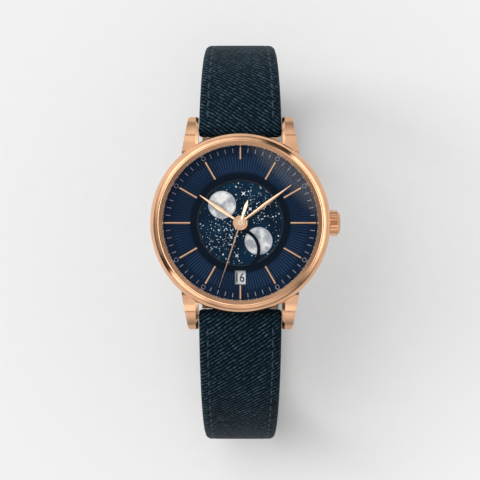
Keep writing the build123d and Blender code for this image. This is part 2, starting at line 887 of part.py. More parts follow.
fifth_wheel = wheel_on_arbor(
    (fifth_x, fifth_y),
    (
        (fifth_teeth, fifth_wheel_pitch, fifth_angle, False, third_level, wheel_thickness),
        (fifth_leaves, fifth_pinion_pitch, fifth_angle + 180, True, seconds_level, leaf_height),
    ),
)
fifth_wheel.part.label = "fifth_wheel"
export_step(fifth_wheel.part, "parts/fifth_wheel.step")

with BuildPart() as rotor:
    with BuildSketch(Plane((rotor_x, rotor_y, bridge_top - pivot_bite))):
        Circle(arbor_radius)
    extrude(amount=train_room + 2 * pivot_bite)
    with BuildSketch(Plane((rotor_x, rotor_y, third_level))):
        disc_with_teeth(rotor_leaves, rotor_pinion_pitch, fifth_angle + 180, True)
    extrude(amount=wheel_thickness + level_gap)
    with BuildSketch(Plane((rotor_x, rotor_y, stator_low))):
        Circle(magnet_radius)
    extrude(amount=magnet_height)
rotor.part.label = "rotor"
export_step(rotor.part, "parts/rotor.step")

with BuildPart() as centre_wheel:
    with BuildSketch(Plane.XY.offset(centre_level)):
        disc_with_teeth(centre_teeth, centre_wheel_pitch, third_angle, False)
        Circle(cannon_radius + running_gap, mode=Mode.SUBTRACT)
    extrude(amount=wheel_thickness)
centre_wheel.part.label = "centre_wheel"
export_step(centre_wheel.part, "parts/centre_wheel.step")

# Motion work above the plate: cannon pinion, minute wheel and hour wheel
cannon_pitch = motion_distance * cannon_leaves / (cannon_leaves + minute_teeth)
minute_wheel_pitch = motion_distance - cannon_pitch
minute_pinion_pitch = motion_distance * minute_leaves / (minute_leaves + hour_teeth)
hour_wheel_pitch = motion_distance - minute_pinion_pitch
cannon_level = plate_top + level_gap
minute_level = cannon_level + level_gap
hour_level = minute_level + wheel_thickness + leaf_height - 3 * level_gap / 2

with BuildPart() as cannon_pinion:
    with BuildSketch(Plane.XY.offset(centre_level - level_gap)):
        Circle(cannon_radius)
    extrude(amount=minute_low + hub_thickness - centre_level + level_gap)
    with BuildSketch(Plane.XY.offset(cannon_level)):
        disc_with_teeth(cannon_leaves, cannon_pitch, minute_wheel_angle, True)
    extrude(amount=wheel_thickness + 2 * level_gap)
    with BuildSketch(Plane.XY.offset(centre_level - level_gap)):
        Circle(seconds_arbor_radius + running_gap)
    extrude(amount=minute_low + hub_thickness - centre_level + level_gap, mode=Mode.SUBTRACT)
cannon_pinion.part.label = "cannon_pinion"
export_step(cannon_pinion.part, "parts/cannon_pinion.step")

with BuildPart() as minute_wheel:
    with BuildSketch(Plane((minute_x, minute_y, minute_level))):
        disc_with_teeth(minute_teeth, minute_wheel_pitch, minute_wheel_angle + 180, False)
    extrude(amount=wheel_thickness)
    with BuildSketch(Plane((minute_x, minute_y, minute_level + wheel_thickness))):
        disc_with_teeth(minute_leaves, minute_pinion_pitch, minute_wheel_angle + 180, True)
    extrude(amount=leaf_height)
    with BuildSketch(Plane((minute_x, minute_y, minute_level))):
        Circle(seconds_arbor_radius + running_gap / 2)
    extrude(amount=wheel_thickness + leaf_height, mode=Mode.SUBTRACT)
minute_wheel.part.label = "minute_wheel"
export_step(minute_wheel.part, "parts/minute_wheel.step")

with BuildPart() as hour_wheel:
    with BuildSketch(Plane.XY.offset(hour_level)):
        disc_with_teeth(hour_teeth, hour_wheel_pitch, minute_wheel_angle, False)
    extrude(amount=wheel_thickness)
    with BuildSketch(Plane.XY.offset(hour_level)):
        Circle(hour_pipe_radius)
    extrude(amount=hour_low + hub_thickness - hour_level)
    with BuildSketch(Plane.XY.offset(hour_level)):
        Circle(cannon_radius + running_gap)
    extrude(amount=hour_low + hub_thickness - hour_level, mode=Mode.SUBTRACT)
hour_wheel.part.label = "hour_wheel"
export_step(hour_wheel.part, "parts/hour_wheel.step")


def blade(angle, low, leaf):
    """A leaf blade with a ridge along its middle, pointing at a dial angle from 12 o'clock."""
    along = Plane.XY.offset(low).rotated((0, 0, 90 - angle))
    widest = max(half for reach, half in leaf)
    with BuildPart() as body:
        with BuildSketch(along):
            with BuildLine():
                Polyline(*leaf, *[(reach, -half) for reach, half in reversed(leaf)], close=True)
            make_face()
        extrude(amount=blade_thickness)
        across = Plane(along.origin, x_dir=along.y_dir, z_dir=along.x_dir)
        with BuildSketch(across):
            with BuildLine():
                Polyline(
                    (-widest, 0),
                    (widest, 0),
                    (widest, blade_edge),
                    (0, blade_thickness),
                    (-widest, blade_edge),
                    close=True,
                )
            make_face()
        extrude(amount=leaf[-1][0], mode=Mode.INTERSECT)
    return body.part


def hub(radius, bore, low):
    """A hand's boss: a low ring with its upper edge bevelled."""
    with BuildPart() as body:
        with BuildSketch(Plane.XY.offset(low)):
            Circle(radius)
        extrude(amount=hub_thickness)
        chamfer(body.edges().group_by(Axis.Z)[-1], length=blade_edge)
        with BuildSketch(Plane.XY.offset(low)):
            Circle(bore)
        extrude(amount=hub_thickness, mode=Mode.SUBTRACT)
    return body.part


def leaf_outline(start, reach, width, root_width_share, belly_share):
    """Half outline of a leaf hand, from its root at the boss to its fine tip."""
    belly = start + belly_share * (reach - start)
    return (
        (start, root_width_share * width / 2),
        (belly, width / 2),
        (reach, tip_width_share * width / 2),
    )


tip_width_share = 0.15
hand_root_share = 0.45
hand_belly_share = 0.45
hub_bite_share = 0.8
with BuildPart() as hour_hand:
    add(
        blade(
            hour_angle,
            hour_low,
            leaf_outline(
                hub_bite_share * hour_hub_radius,
                hour_length,
                hour_blade_width,
                hand_root_share,
                hand_belly_share,
            ),
        )
    )
    add(hub(hour_hub_radius, hour_pipe_radius, hour_low))
hour_hand.part.label = "hour_hand"
export_step(hour_hand.part, "parts/hour_hand.step")

with BuildPart() as minute_hand:
    add(
        blade(
            minute_angle,
            minute_low,
            leaf_outline(
                hub_bite_share * minute_hub_radius,
                minute_length,
                minute_blade_width,
                hand_root_share,
                hand_belly_share,
            ),
        )
    )
    add(hub(minute_hub_radius, cannon_radius, minute_low))
minute_hand.part.label = "minute_hand"
export_step(minute_hand.part, "parts/minute_hand.step")

tail_belly_share = 0.72
with BuildPart() as seconds_hand:
    needle_start = hub_bite_share * seconds_hub_radius
    add(
        blade(
            seconds_angle,
            seconds_low,
            leaf_outline(needle_start, seconds_length, seconds_blade_width, 1, hand_belly_share),
        )
    )
    add(
        blade(
            seconds_angle + 180,
            seconds_low,
            leaf_outline(needle_start, seconds_tail, tail_blade_width, hand_root_share, tail_belly_share),
        )
    )
    add(hub(seconds_hub_radius, seconds_arbor_radius, seconds_low))
seconds_hand.part.label = "seconds_hand"
export_step(seconds_hand.part, "parts/seconds_hand.step")

# Calendar: a plate over the motion work, the moon disc on it and the date ring round it
moon_disc_low = dial_low - 2 * level_gap - disc_thickness
calendar_plate_top = moon_disc_low - level_gap
calendar_plate_low = calendar_plate_top - calendar_plate_thickness
date_ring_low = plate_top + plate_rim_height + level_gap
with BuildPart() as calendar_plate:
    hour_wheel_tip = hour_wheel_pitch + tip_share * 2 * hour_wheel_pitch / hour_teeth
    with BuildSketch(Plane.XY.offset(calendar_plate_low)):
        Circle(calendar_plate_radius)
        Circle(hour_wheel_tip + 4 * running_gap, mode=Mode.SUBTRACT)
    extrude(amount=calendar_plate_thickness)
    with BuildSketch(Plane.XY.offset(plate_top)):
        with PolarLocations(calendar_foot_place, 3, start_angle=30):
            Circle(calendar_foot_radius)
    extrude(amount=calendar_plate_low - plate_top)
calendar_plate.part.label = "calendar_plate"
export_step(calendar_plate.part, "parts/calendar_plate.step")

with BuildPart() as moon_disc:
    moon_disc_pitch = moon_disc_radius - tip_share * 2 * moon_disc_radius / moon_teeth
    with BuildSketch(Plane.XY.offset(moon_disc_low)):
        disc_with_teeth(moon_teeth, moon_disc_pitch, 0, False)
        Circle(moon_bore_radius, mode=Mode.SUBTRACT)
    extrude(amount=disc_thickness)
moon_disc.part.label = "moon_disc"
export_step(moon_disc.part, "parts/moon_disc.step")

with BuildPart() as date_ring:
    with BuildSketch(Plane.XY.offset(date_ring_low)):
        Circle(date_ring_radius)
        disc_with_teeth(date_teeth, date_ring_inner_radius, 0, False, Mode.SUBTRACT)
    extrude(amount=date_ring_thickness)
date_ring.part.label = "date_ring"
export_step(date_ring.part, "parts/date_ring.step")

# Crown side: tube in the case, stem through it, crown on the stem and a seal ring inside the crown
tube_start = holder_bore_radius
crown_start = case_side_radius + crown_gap
crown_recess_end = crown_start + crown_length - crown_cap
with BuildPart() as crown_tube:
    with BuildSketch(crown_plane.offset(tube_start)):
        Circle(tube_radius)
        Circle(stem_radius + 2 * running_gap, mode=Mode.SUBTRACT)
    extrude(amount=tube_length)
crown_tube.part.label = "crown_tube"
export_step(crown_tube.part, "parts/crown_tube.step")

with BuildPart() as crown:
    flute_step = 360 / crown_flutes
    flute_points = []
    for count in range(crown_flutes):
        for reach, share in (
            (crown_radius, -crown_ridge_share),
            (crown_radius, crown_ridge_share),
            (crown_radius - flute_depth, 1 / 2),
        ):
            angle = radians((count + share) * flute_step)
            flute_points.append((reach * cos(angle), reach * sin(angle)))
    with BuildSketch(crown_plane.offset(crown_start)):
        Polygon(*flute_points, align=None)
    extrude(amount=crown_length - crown_end_height)
    with BuildSketch(crown_plane.offset(crown_start + crown_length - crown_end_height)):
        Circle(crown_radius - flute_depth)
    extrude(amount=crown_end_height)
    chamfer(crown.edges().group_by(Axis.X)[-1], length=crown_end_height - layer_gap)
    with BuildSketch(crown_plane.offset(crown_start)):
        Circle(crown_radius - crown_wall)
    extrude(amount=crown_recess_end - crown_start, mode=Mode.SUBTRACT)
    with BuildSketch(crown_plane.offset(crown_recess_end)):
        Circle(stem_radius)
    extrude(amount=stem_bite, mode=Mode.SUBTRACT)
crown.part.label = "crown"
export_step(crown.part, "parts/crown.step")

with BuildPart() as crown_gasket:
    with BuildSketch(crown_plane.offset(crown_start + layer_gap)):
        Circle(crown_radius - crown_wall - running_gap)
        Circle(tube_radius + running_gap, mode=Mode.SUBTRACT)
    extrude(amount=seal_width)
crown_gasket.part.label = "crown_gasket"
export_step(crown_gasket.part, "parts/crown_gasket.step")

with BuildPart() as stem:
    with BuildSketch(crown_plane.offset(stem_inner_end)):
        Circle(stem_radius)
    extrude(amount=crown_recess_end + stem_bite - stem_inner_end)
    with BuildSketch(crown_plane.offset(lever_x - groove_width / 2)):
        Circle(stem_radius)
        Circle(stem_radius - groove_depth, mode=Mode.SUBTRACT)
    extrude(amount=groove_width, mode=Mode.SUBTRACT)
stem.part.label = "stem"
export_step(stem.part, "parts/stem.step")

# Setting lever: its nose sits in the stem's groove, so it swings when the crown is pulled
with BuildPart() as setting_lever:
    with BuildSketch(Plane.XY.offset(crown_height - lever_thickness / 2)):
        add(link((lever_x, lever_y), (lever_x, lever_y - lever_arm), lever_hub_radius, lever_nose_radius))
        with Locations((lever_x, lever_y)):
            Circle(lever_pin_radius + running_gap, mode=Mode.SUBTRACT)
    extrude(amount=lever_thickness)
setting_lever.part.label = "setting_lever"
export_step(setting_lever.part, "parts/setting_lever.step")


def bar_tube_at(side):
    """A spring bar's tube between two lugs."""
    with BuildPart() as body:
        across = Plane((0, side * bar_offset, bar_height), x_dir=(0, 1, 0), z_dir=(1, 0, 0))
        with BuildSketch(across):
            Circle(bar_tube_radius)
            Circle(bar_bore_radius, mode=Mode.SUBTRACT)
        extrude(amount=bar_tube_length / 2, both=True)
    return body


def bar_tip_at(side, hand):
    """A spring bar's end pin, which slides in the tube and enters the lug."""
    inner = bar_tube_length / 2 - bar_pin_hold
    with BuildPart() as body:
        across = Plane((hand * inner, side * bar_offset, bar_height), x_dir=(0, 1, 0), z_dir=(hand, 0, 0))
        with BuildSketch(across):
            Circle(bar_pin_radius)
        extrude(amount=lug_half_gap + bar_pin_bite - inner)
    return body


def bar_spring_at(side):
    """The spring between a bar's two end pins, as a plain sleeve."""
    inner = bar_tube_length / 2 - bar_pin_hold
    with BuildPart() as body:
        with BuildSketch(Plane((0, side * bar_offset, bar_height), x_dir=(0, 1, 0), z_dir=(1, 0, 0))):
            Circle(bar_pin_radius)
            Circle(bar_pin_radius - bar_spring_wall, mode=Mode.SUBTRACT)
        extrude(amount=inner, both=True)
    return body


for place, side in (("upper", 1), ("lower", -1)):
    bar_tube = bar_tube_at(side)
    bar_tube.part.label = place + "_bar_tube"
    export_step(bar_tube.part, "parts/" + place + "_bar_tube.step")
    for edge, hand in (("left", -1), ("right", 1)):
        bar_tip = bar_tip_at(side, hand)
        bar_tip.part.label = place + "_" + edge + "_bar_tip"
        export_step(bar_tip.part, "parts/" + place + "_" + edge + "_bar_tip.step")
    bar_spring = bar_spring_at(side)
    bar_spring.part.label = place + "_bar_spring"
    export_step(bar_spring.part, "parts/" + place + "_bar_spring.step")


# Strap. Each half is a side view swept across its width, then cut to its width seen from the front
def strap_line(side, slope, start_offset, lead, first_bend, second_bend, end_y):
    """One line of a strap's side view: lead from the bar, bend down the wrist, bend under it, flat."""
    lean = radians(slope)
    ahead = (side * cos(lean), -sin(lean))
    out = (side * sin(lean), cos(lean))
    begin = (
        side * bar_offset + start_offset * out[0] + (strap_lead - lead) * ahead[0],
        bar_height + start_offset * out[1] + (strap_lead - lead) * ahead[1],
    )
    with BuildLine() as path:
        bend_start = begin
        if lead > 0:
            bend_start = (begin[0] + lead * ahead[0], begin[1] + lead * ahead[1])
            Line(begin, bend_start)
        down = JernArc(bend_start, ahead, first_bend, -side * (90 - slope))
        under = JernArc(down @ 1, (0, -1), second_bend, -side * 90)
        Line(under @ 1, (end_y, (under @ 1).Y))
    return path.line


def strap_outline(side, slope, bends, end_y, lining_end_y):
    """The closed side views of a whole strap half and of its lining."""
    outer_first, inner_first, outer_second, inner_second = bends
    outer = strap_line(side, slope, roll_radius, strap_lead, outer_first, outer_second, end_y)
    inner = strap_line(side, slope, -roll_radius, strap_lead, inner_first, inner_second, end_y)
    seam = strap_line(
        side,
        slope,
        lining_thickness - roll_radius,
        0,
        inner_first + lining_thickness,
        inner_second + lining_thickness,
        lining_end_y,
    )
    floor = strap_line(side, slope, -roll_radius, 0, inner_first, inner_second, lining_end_y)
    return outer, inner, seam, floor


def roll_back(side, slope):
    """The point of a strap's roll that lies nearest the case."""
    lean = radians(slope)
    return (side * (bar_offset - roll_radius * cos(lean)), bar_height + roll_radius * sin(lean))


def bend_radii(slope, first_bend, second_bend, end_thickness):
    """Outer and inner radii of both bends, so that the strap thins from its roll to its end."""
    lean = radians(slope)
    step_in = (strap_mid_thickness - 2 * roll_radius * sin(lean)) / (1 - sin(lean))
    drop = (2 * roll_radius - step_in) * cos(lean)
    return first_bend, first_bend - step_in, second_bend, second_bend - end_thickness - drop


def flat_level(slope, first_bend, second_bend):
    """Height of the outer face where a strap half lies flat under the wrist."""
    lean = radians(slope)
    out_height = bar_height + roll_radius * cos(lean) - strap_lead * sin(lean)
    return out_height - first_bend * cos(lean) - second_bend


upper_bends = bend_radii(upper_slope_angle, upper_first_bend, upper_second_bend, upper_end_thickness)
upper_outer_z = flat_level(upper_slope_angle, upper_first_bend, upper_second_bend)
upper_inner_z = upper_outer_z + upper_end_thickness
lower_outer_z = upper_outer_z - layer_gap - lower_end_thickness
lower_second_bend = flat_level(lower_slope_angle, lower_first_bend, 0) - lower_outer_z
lower_bends = bend_radii(lower_slope_angle, lower_first_bend, lower_second_bend, lower_end_thickness)
pin_z = upper_outer_z + upper_end_thickness / 2
rest_z = lower_outer_z - keeper_drop - keeper_wall


def width_cut(mid_z, mid_width, flat_z):
    """Front view of a strap half: wide at the lugs, drawn in to the buckle's width where it is flat."""
    top_half = lug_half_gap - strap_side_gap
    end_half = buckle_strap_width / 2
    with BuildSketch(Plane.XZ) as view:
        with BuildLine():
            for hand in (-1, 1):
                Polyline(
                    (hand * top_half, case_top),
                    (hand * top_half, bar_height),
                    (hand * mid_width / 2, mid_z),
                    (hand * end_half, flat_z),
                    (hand * end_half, rest_z),
                )
            Line((-top_half, case_top), (top_half, case_top))
            Line((-end_half, rest_z), (end_half, rest_z))
        make_face()
    return view.sketch


upper_lines = strap_outline(1, upper_slope_angle, upper_bends, buckle_y, buckle_y + hem_length)
upper_mid_z = upper_outer_z + upper_second_bend
with BuildPart() as upper_whole:
    with BuildSketch(Plane.YZ):
        with BuildLine():
            add(upper_lines[0])
            add(upper_lines[1])
            ThreePointArc(upper_lines[0] @ 0, roll_back(1, upper_slope_angle), upper_lines[1] @ 0)
            end_middle = (buckle_y - upper_end_thickness / 2, pin_z)
            ThreePointArc(upper_lines[0] @ 1, end_middle, upper_lines[1] @ 1)
        make_face()
        with Locations((bar_offset, bar_height)):
            Circle(bar_tube_radius + fit_gap, mode=Mode.SUBTRACT)
        with Locations((buckle_y, pin_z)):
            Circle(buckle_pin_radius + fit_gap, mode=Mode.SUBTRACT)
    extrude(amount=lug_half_gap, both=True)
    add(
        extrude(
            width_cut(upper_mid_z, upper_mid_width, upper_inner_z),
            amount=cut_reach,
            both=True,
            mode=Mode.PRIVATE,
        ),
        mode=Mode.INTERSECT,
    )
    with BuildSketch(Plane.XY.offset(upper_outer_z)):
        with Locations((0, buckle_y)):
            Rectangle(tang_width + 2 * tang_slot_gap, 2 * (tang_hub_radius + tang_slot_gap))
    extrude(amount=upper_end_thickness, mode=Mode.SUBTRACT)

lower_lines = strap_outline(-1, lower_slope_angle, lower_bends, tail_end_y, tail_end_y)
lower_mid_z = lower_outer_z + lower_second_bend
with BuildPart() as lower_whole:
    with BuildSketch(Plane.YZ):
        with BuildLine():
            add(lower_lines[0])
            add(lower_lines[1])
            ThreePointArc(lower_lines[0] @ 0, roll_back(-1, lower_slope_angle), lower_lines[1] @ 0)
            Line(lower_lines[0] @ 1, lower_lines[1] @ 1)
        make_face()
        with Locations((-bar_offset, bar_height)):
            Circle(bar_tube_radius + fit_gap, mode=Mode.SUBTRACT)
    extrude(amount=lug_half_gap, both=True)
    add(
        extrude(
            width_cut(lower_mid_z, lower_mid_width, lower_outer_z + lower_end_thickness),
            amount=cut_reach,
            both=True,
            mode=Mode.PRIVATE,
        ),
        mode=Mode.INTERSECT,
    )
    fillet(lower_whole.edges().filter_by(Axis.Z).group_by(Axis.Y)[-1], radius=tip_round)
    with BuildSketch(Plane.XY.offset(lower_outer_z)):
        for count in range(hole_count):
            with Locations((0, tang_hole_y - count * hole_pitch)):
                SlotOverall(hole_length, hole_width, rotation=90)
    extrude(amount=lower_end_thickness, mode=Mode.SUBTRACT)


def lining_blank(seam, floor):
    """The lining's side view swept wider than the strap."""
    with BuildPart() as body:
        with BuildSketch(Plane.YZ):
            with BuildLine():
                add(seam)
                add(floor)
                Line(seam @ 0, floor @ 0)
                Line(seam @ 1, floor @ 1)
            make_face()
        extrude(amount=lug_half_gap, both=True)
    return body.part


for place, whole, lines in (("upper", upper_whole, upper_lines), ("lower", lower_whole, lower_lines)):
    blank = lining_blank(lines[2], lines[3])
    with BuildPart() as strap_leather:
        add(whole.part)
        add(blank, mode=Mode.SUBTRACT)
    strap_leather.part.label = place + "_strap"
    export_step(strap_leather.part, "parts/" + place + "_strap.step")
    with BuildPart() as strap_lining:
        add(whole.part)
        add(blank, mode=Mode.INTERSECT)
    strap_lining.part.label = place + "_lining"
    export_step(strap_lining.part, "parts/" + place + "_lining.step")

# Pin buckle: a bent frame on a pin through the strap's end, with its tang
frame_inner_half = buckle_strap_width / 2 + buckle_side_gap
frame_outer_half = frame_inner_half + buckle_arm_width
front_bar_y = buckle_y - front_bar_reach
front_bar_z = rest_z + front_bar_radius
with BuildPart() as buckle_frame:
    with BuildSketch(Plane.YZ):
        with Locations((buckle_y, pin_z)):
            Circle(buckle_eye_radius)
        with Locations((front_bar_y, front_bar_z)):
            Circle(front_bar_radius)
        make_hull()
    extrude(amount=frame_outer_half, both=True)
    with BuildSketch(Plane.XY.offset(rest_z)) as plan:
        with BuildLine():
            front_y = front_bar_y - front_bar_radius
            back_y = buckle_y + buckle_eye_radius
            Polyline(
                (-frame_outer_half, front_y),
                (frame_outer_half, front_y),
                (frame_outer_half, back_y),
                (-frame_outer_half, back_y),
                close=True,
            )
        make_face()
        fillet(plan.vertices().group_by(Axis.Y)[0], radius=frame_corner)
        with BuildLine():
            inner_y = front_bar_y + front_bar_radius
            Polyline(
                (-frame_inner_half, inner_y),
                (frame_inner_half, inner_y),
                (frame_inner_half, back_y),
                (-frame_inner_half, back_y),
                close=True,
            )
        make_face(mode=Mode.SUBTRACT)
    extrude(amount=pin_z + buckle_eye_radius - rest_z, mode=Mode.INTERSECT)
    with BuildSketch(Plane.XY.offset(lower_outer_z - front_bar_gap)):
        with Locations((0, front_bar_y)):
            Rectangle(2 * frame_inner_half, 4 * front_bar_radius)
    extrude(amount=pin_z + buckle_eye_radius - rest_z, mode=Mode.SUBTRACT)
    with BuildSketch(Plane.YZ):
        with Locations((buckle_y, pin_z)):
            Circle(buckle_pin_radius)
    extrude(amount=frame_outer_half - tang_slot_gap, both=True, mode=Mode.SUBTRACT)
    with BuildSketch(Plane.XY.offset(rest_z)):
        with Locations((0, front_bar_y)):
            Rectangle(tang_width + 2 * tang_slot_gap, 4 * front_bar_radius)
    extrude(amount=tang_thickness + 2 * running_gap, mode=Mode.SUBTRACT)
buckle_frame.part.label = "buckle_frame"
export_step(buckle_frame.part, "parts/buckle_frame.step")

with BuildPart() as buckle_pin:
    with BuildSketch(Plane((0, buckle_y, pin_z), x_dir=(0, 1, 0), z_dir=(1, 0, 0))):
        Circle(buckle_pin_radius)
    extrude(amount=frame_outer_half - tang_slot_gap, both=True)
buckle_pin.part.label = "buckle_pin"
export_step(buckle_pin.part, "parts/buckle_pin.step")

tang_half = tang_thickness / 2
tang_low_z = rest_z + tang_half + running_gap
tang_knee = (tang_hole_y + tang_knee_ahead, pin_z - tang_hub_radius)
tang_foot = (tang_hole_y - tang_foot_behind, tang_low_z)
tang_tip = (front_bar_y - front_bar_radius + tang_half, tang_low_z)
with BuildPart() as buckle_tang:
    with BuildSketch(Plane.YZ):
        add(link((buckle_y, pin_z), tang_knee, tang_half, tang_half))
        add(link(tang_knee, tang_foot, tang_half, tang_half))
        add(link(tang_foot, tang_tip, tang_half, tang_half))
        with Locations((buckle_y, pin_z)):
            Circle(tang_hub_radius)
            Circle(buckle_pin_radius + running_gap, mode=Mode.SUBTRACT)
    extrude(amount=tang_width / 2, both=True)
buckle_tang.part.label = "buckle_tang"
export_step(buckle_tang.part, "parts/buckle_tang.step")

# Keepers: the fixed one is sewn to the edges of the buckle half, the free one slides on both halves
keeper_inner_half = buckle_strap_width / 2 + keeper_side_gap
keeper_outer_half = keeper_inner_half + keeper_wall
keeper_floor_z = rest_z + keeper_wall
with BuildPart() as fixed_keeper:
    with BuildSketch(Plane.XZ.offset(-(fixed_keeper_y - keeper_width / 2))):
        with Locations((0, (rest_z + upper_inner_z) / 2)):
            RectangleRounded(2 * keeper_outer_half, upper_inner_z - rest_z, keeper_round)
        with Locations((0, (keeper_floor_z + upper_inner_z) / 2)):
            Rectangle(2 * keeper_inner_half, upper_inner_z - keeper_floor_z, mode=Mode.SUBTRACT)
        for hand in (-1, 1):
            seam_x = hand * (buckle_strap_width + keeper_side_gap) / 2
            with Locations((seam_x, (upper_outer_z + upper_inner_z) / 2)):
                Rectangle(keeper_side_gap, upper_end_thickness)
    extrude(amount=-keeper_width)
fixed_keeper.part.label = "fixed_keeper"
export_step(fixed_keeper.part, "parts/fixed_keeper.step")

with BuildPart() as free_keeper:
    ceiling_z = upper_inner_z + keeper_play
    with BuildSketch(Plane.XZ.offset(-(free_keeper_y - keeper_width / 2))):
        with Locations((0, (rest_z + ceiling_z + keeper_wall) / 2)):
            RectangleRounded(2 * keeper_outer_half, ceiling_z + keeper_wall - rest_z, keeper_round)
        with Locations((0, (keeper_floor_z + ceiling_z) / 2)):
            Rectangle(2 * keeper_inner_half, ceiling_z - keeper_floor_z, mode=Mode.SUBTRACT)
    extrude(amount=-keeper_width)
free_keeper.part.label = "free_keeper"
export_step(free_keeper.part, "parts/free_keeper.step")
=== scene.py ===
# %% [markdown]
# # A moon phase watch on a buckled strap
# The CAD model is the frame of this lesson: every piece of it is already the right size and in
# the right place, in metres, with the dial facing up and 12 o'clock along +Y. This script gives
# the hard parts their finishes, and builds the soft and printed parts that a solid model leaves
# plain: the embossed leather, its stitches and keepers, the stars, moons, ticks and numerals.

# %% Load the frame
import math
import random

import bmesh
import bpy
from mathutils import Matrix, Vector


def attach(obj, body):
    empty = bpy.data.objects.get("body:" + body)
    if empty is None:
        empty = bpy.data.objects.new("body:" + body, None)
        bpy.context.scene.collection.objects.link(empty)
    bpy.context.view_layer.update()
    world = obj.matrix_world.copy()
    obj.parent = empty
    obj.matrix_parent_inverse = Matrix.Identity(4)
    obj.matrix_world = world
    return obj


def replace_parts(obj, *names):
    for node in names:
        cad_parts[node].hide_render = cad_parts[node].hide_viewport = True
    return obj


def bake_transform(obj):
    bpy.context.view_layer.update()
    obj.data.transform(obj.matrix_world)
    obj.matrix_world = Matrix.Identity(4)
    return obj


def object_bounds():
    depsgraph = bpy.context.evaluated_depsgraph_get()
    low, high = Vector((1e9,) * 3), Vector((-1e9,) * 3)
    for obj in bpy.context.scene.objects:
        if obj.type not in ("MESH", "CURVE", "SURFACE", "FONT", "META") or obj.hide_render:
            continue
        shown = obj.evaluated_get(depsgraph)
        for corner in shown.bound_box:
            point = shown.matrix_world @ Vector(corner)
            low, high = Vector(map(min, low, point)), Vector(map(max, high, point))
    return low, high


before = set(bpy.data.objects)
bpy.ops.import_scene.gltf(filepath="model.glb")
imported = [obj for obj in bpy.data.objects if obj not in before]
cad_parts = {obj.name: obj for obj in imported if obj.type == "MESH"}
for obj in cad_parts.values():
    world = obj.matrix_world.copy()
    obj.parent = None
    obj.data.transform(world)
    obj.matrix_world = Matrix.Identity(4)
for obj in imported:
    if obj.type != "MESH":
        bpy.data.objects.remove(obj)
cad_low, cad_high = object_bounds()
mm = 0.001
print("CAD box in mm", [round(v / mm, 2) for v in cad_high - cad_low])

# %% [markdown]
# ## Studio
# The watch stands on its buckle and is seen straight from above, so the camera looks down -Z. It
# is a quarter of a metre above the dial. Its lens follows from the width that it must cover there:
# lens = sensor * distance / width. The watch is a little above the middle of the picture, so the
# camera is moved towards 6 o'clock, and it isn't tilted.

# %% Camera
dial_level = 5.5 * mm
camera_rise = 250 * mm
seen_width = 90.67 * mm
camera_data = bpy.data.cameras.new("overhead_camera")
camera_data.sensor_width = 36
camera_data.lens = camera_data.sensor_width * camera_rise / seen_width
camera_data.clip_start = 0.01
camera = bpy.data.objects.new("overhead_camera", camera_data)
camera.location = (-0.06 * mm, -3.23 * mm, dial_level + camera_rise)
bpy.context.scene.collection.objects.link(camera)
bpy.context.scene.camera = camera
print("lens", round(camera_data.lens, 2))

# %% [markdown]
# Colours are picked as they look on a screen, but shader sockets hold linear light. This helper
# turns one into the other, so each finish below can be given in plain 0 to 255 steps.


# %% Screen colours
def paint(red, green, blue):
    """A socket colour from screen values of 0 to 255."""
    linear = []
    for step in (red, green, blue):
        part = step / 255
        linear.append(part / 12.92 if part <= 0.04045 else ((part + 0.055) / 1.055) ** 2.4)
    return (*linear, 1.0)


backdrop_white = (242, 242, 242)
print("white paint", paint(*backdrop_white))

# %% [markdown]
# A material is a small tree of nodes. These helpers keep the cells below short. The first ones
# feed an input, fill several by name, and put a new node in a tree. The others make the sums and
# textures that come up again and again, and find their tree through the sockets they are given.


# %% Node helpers
def feed(slot, value):
    """Gives an input a value: another node's socket is linked, anything else is written there."""
    if isinstance(value, bpy.types.NodeSocket):
        slot.id_data.links.new(value, slot)
    else:
        slot.default_value = value


def fill(node, **values):
    """Feeds a node's inputs by name, with _ for a space."""
    for key, value in values.items():
        feed(node.inputs[key.replace("_", " ")], value)


def put(tree, kind, *terms, **values):
    """A new shader node. Values with a capital letter and terms, in order, are its inputs."""
    node = tree.nodes.new("ShaderNode" + kind)
    for key, value in values.items():
        if key[0].isupper():
            fill(node, **{key: value})
        else:
            setattr(node, key, value)
    for slot, term in zip(node.inputs, terms):
        feed(slot, term)
    return node


def sums(operation, *terms):
    """A Math node; each term is a socket or a number."""
    tree = next(term.id_data for term in terms if isinstance(term, bpy.types.NodeSocket))
    return put(tree, "Math", *terms, operation=operation).outputs[0]


def times(product, *factors):
    """The product of some terms."""
    for factor in factors:
        product = sums("MULTIPLY", product, factor)
    return product


def line(value, gain, start):
    """A value times a gain, and a start added."""
    return sums("MULTIPLY_ADD", value, gain, start)


def spread(value, low, high, new_low=0.0, new_high=1.0):
    """Maps a range of a value smoothly to another, held at both ends."""
    ends = (low, high, new_low, new_high)
    return put(value.id_data, "MapRange", value, *ends, interpolation_type="SMOOTHSTEP").outputs[0]


def tint(share, first, second):
    """Mixes two colours by a share; each is a socket or screen values."""
    node = put(share.id_data, "Mix", share, data_type="RGBA")
    for slot, colour in zip(node.inputs[6:8], (first, second)):
        feed(slot, colour if isinstance(colour, bpy.types.NodeSocket) else paint(*colour))
    return node.outputs[2]


def noise(place, scale, detail=2.0, roughness=0.5):
    """A soft noise, with that many features per metre."""
    values = {"Vector": place, "Scale": scale, "Detail": detail, "Roughness": roughness}
    return put(place.id_data, "TexNoise", **values).outputs["Fac"]


def length(vector):
    """How long a vector is."""
    return put(vector.id_data, "VectorMath", vector, operation="LENGTH").outputs["Value"]


print("node helpers ready")

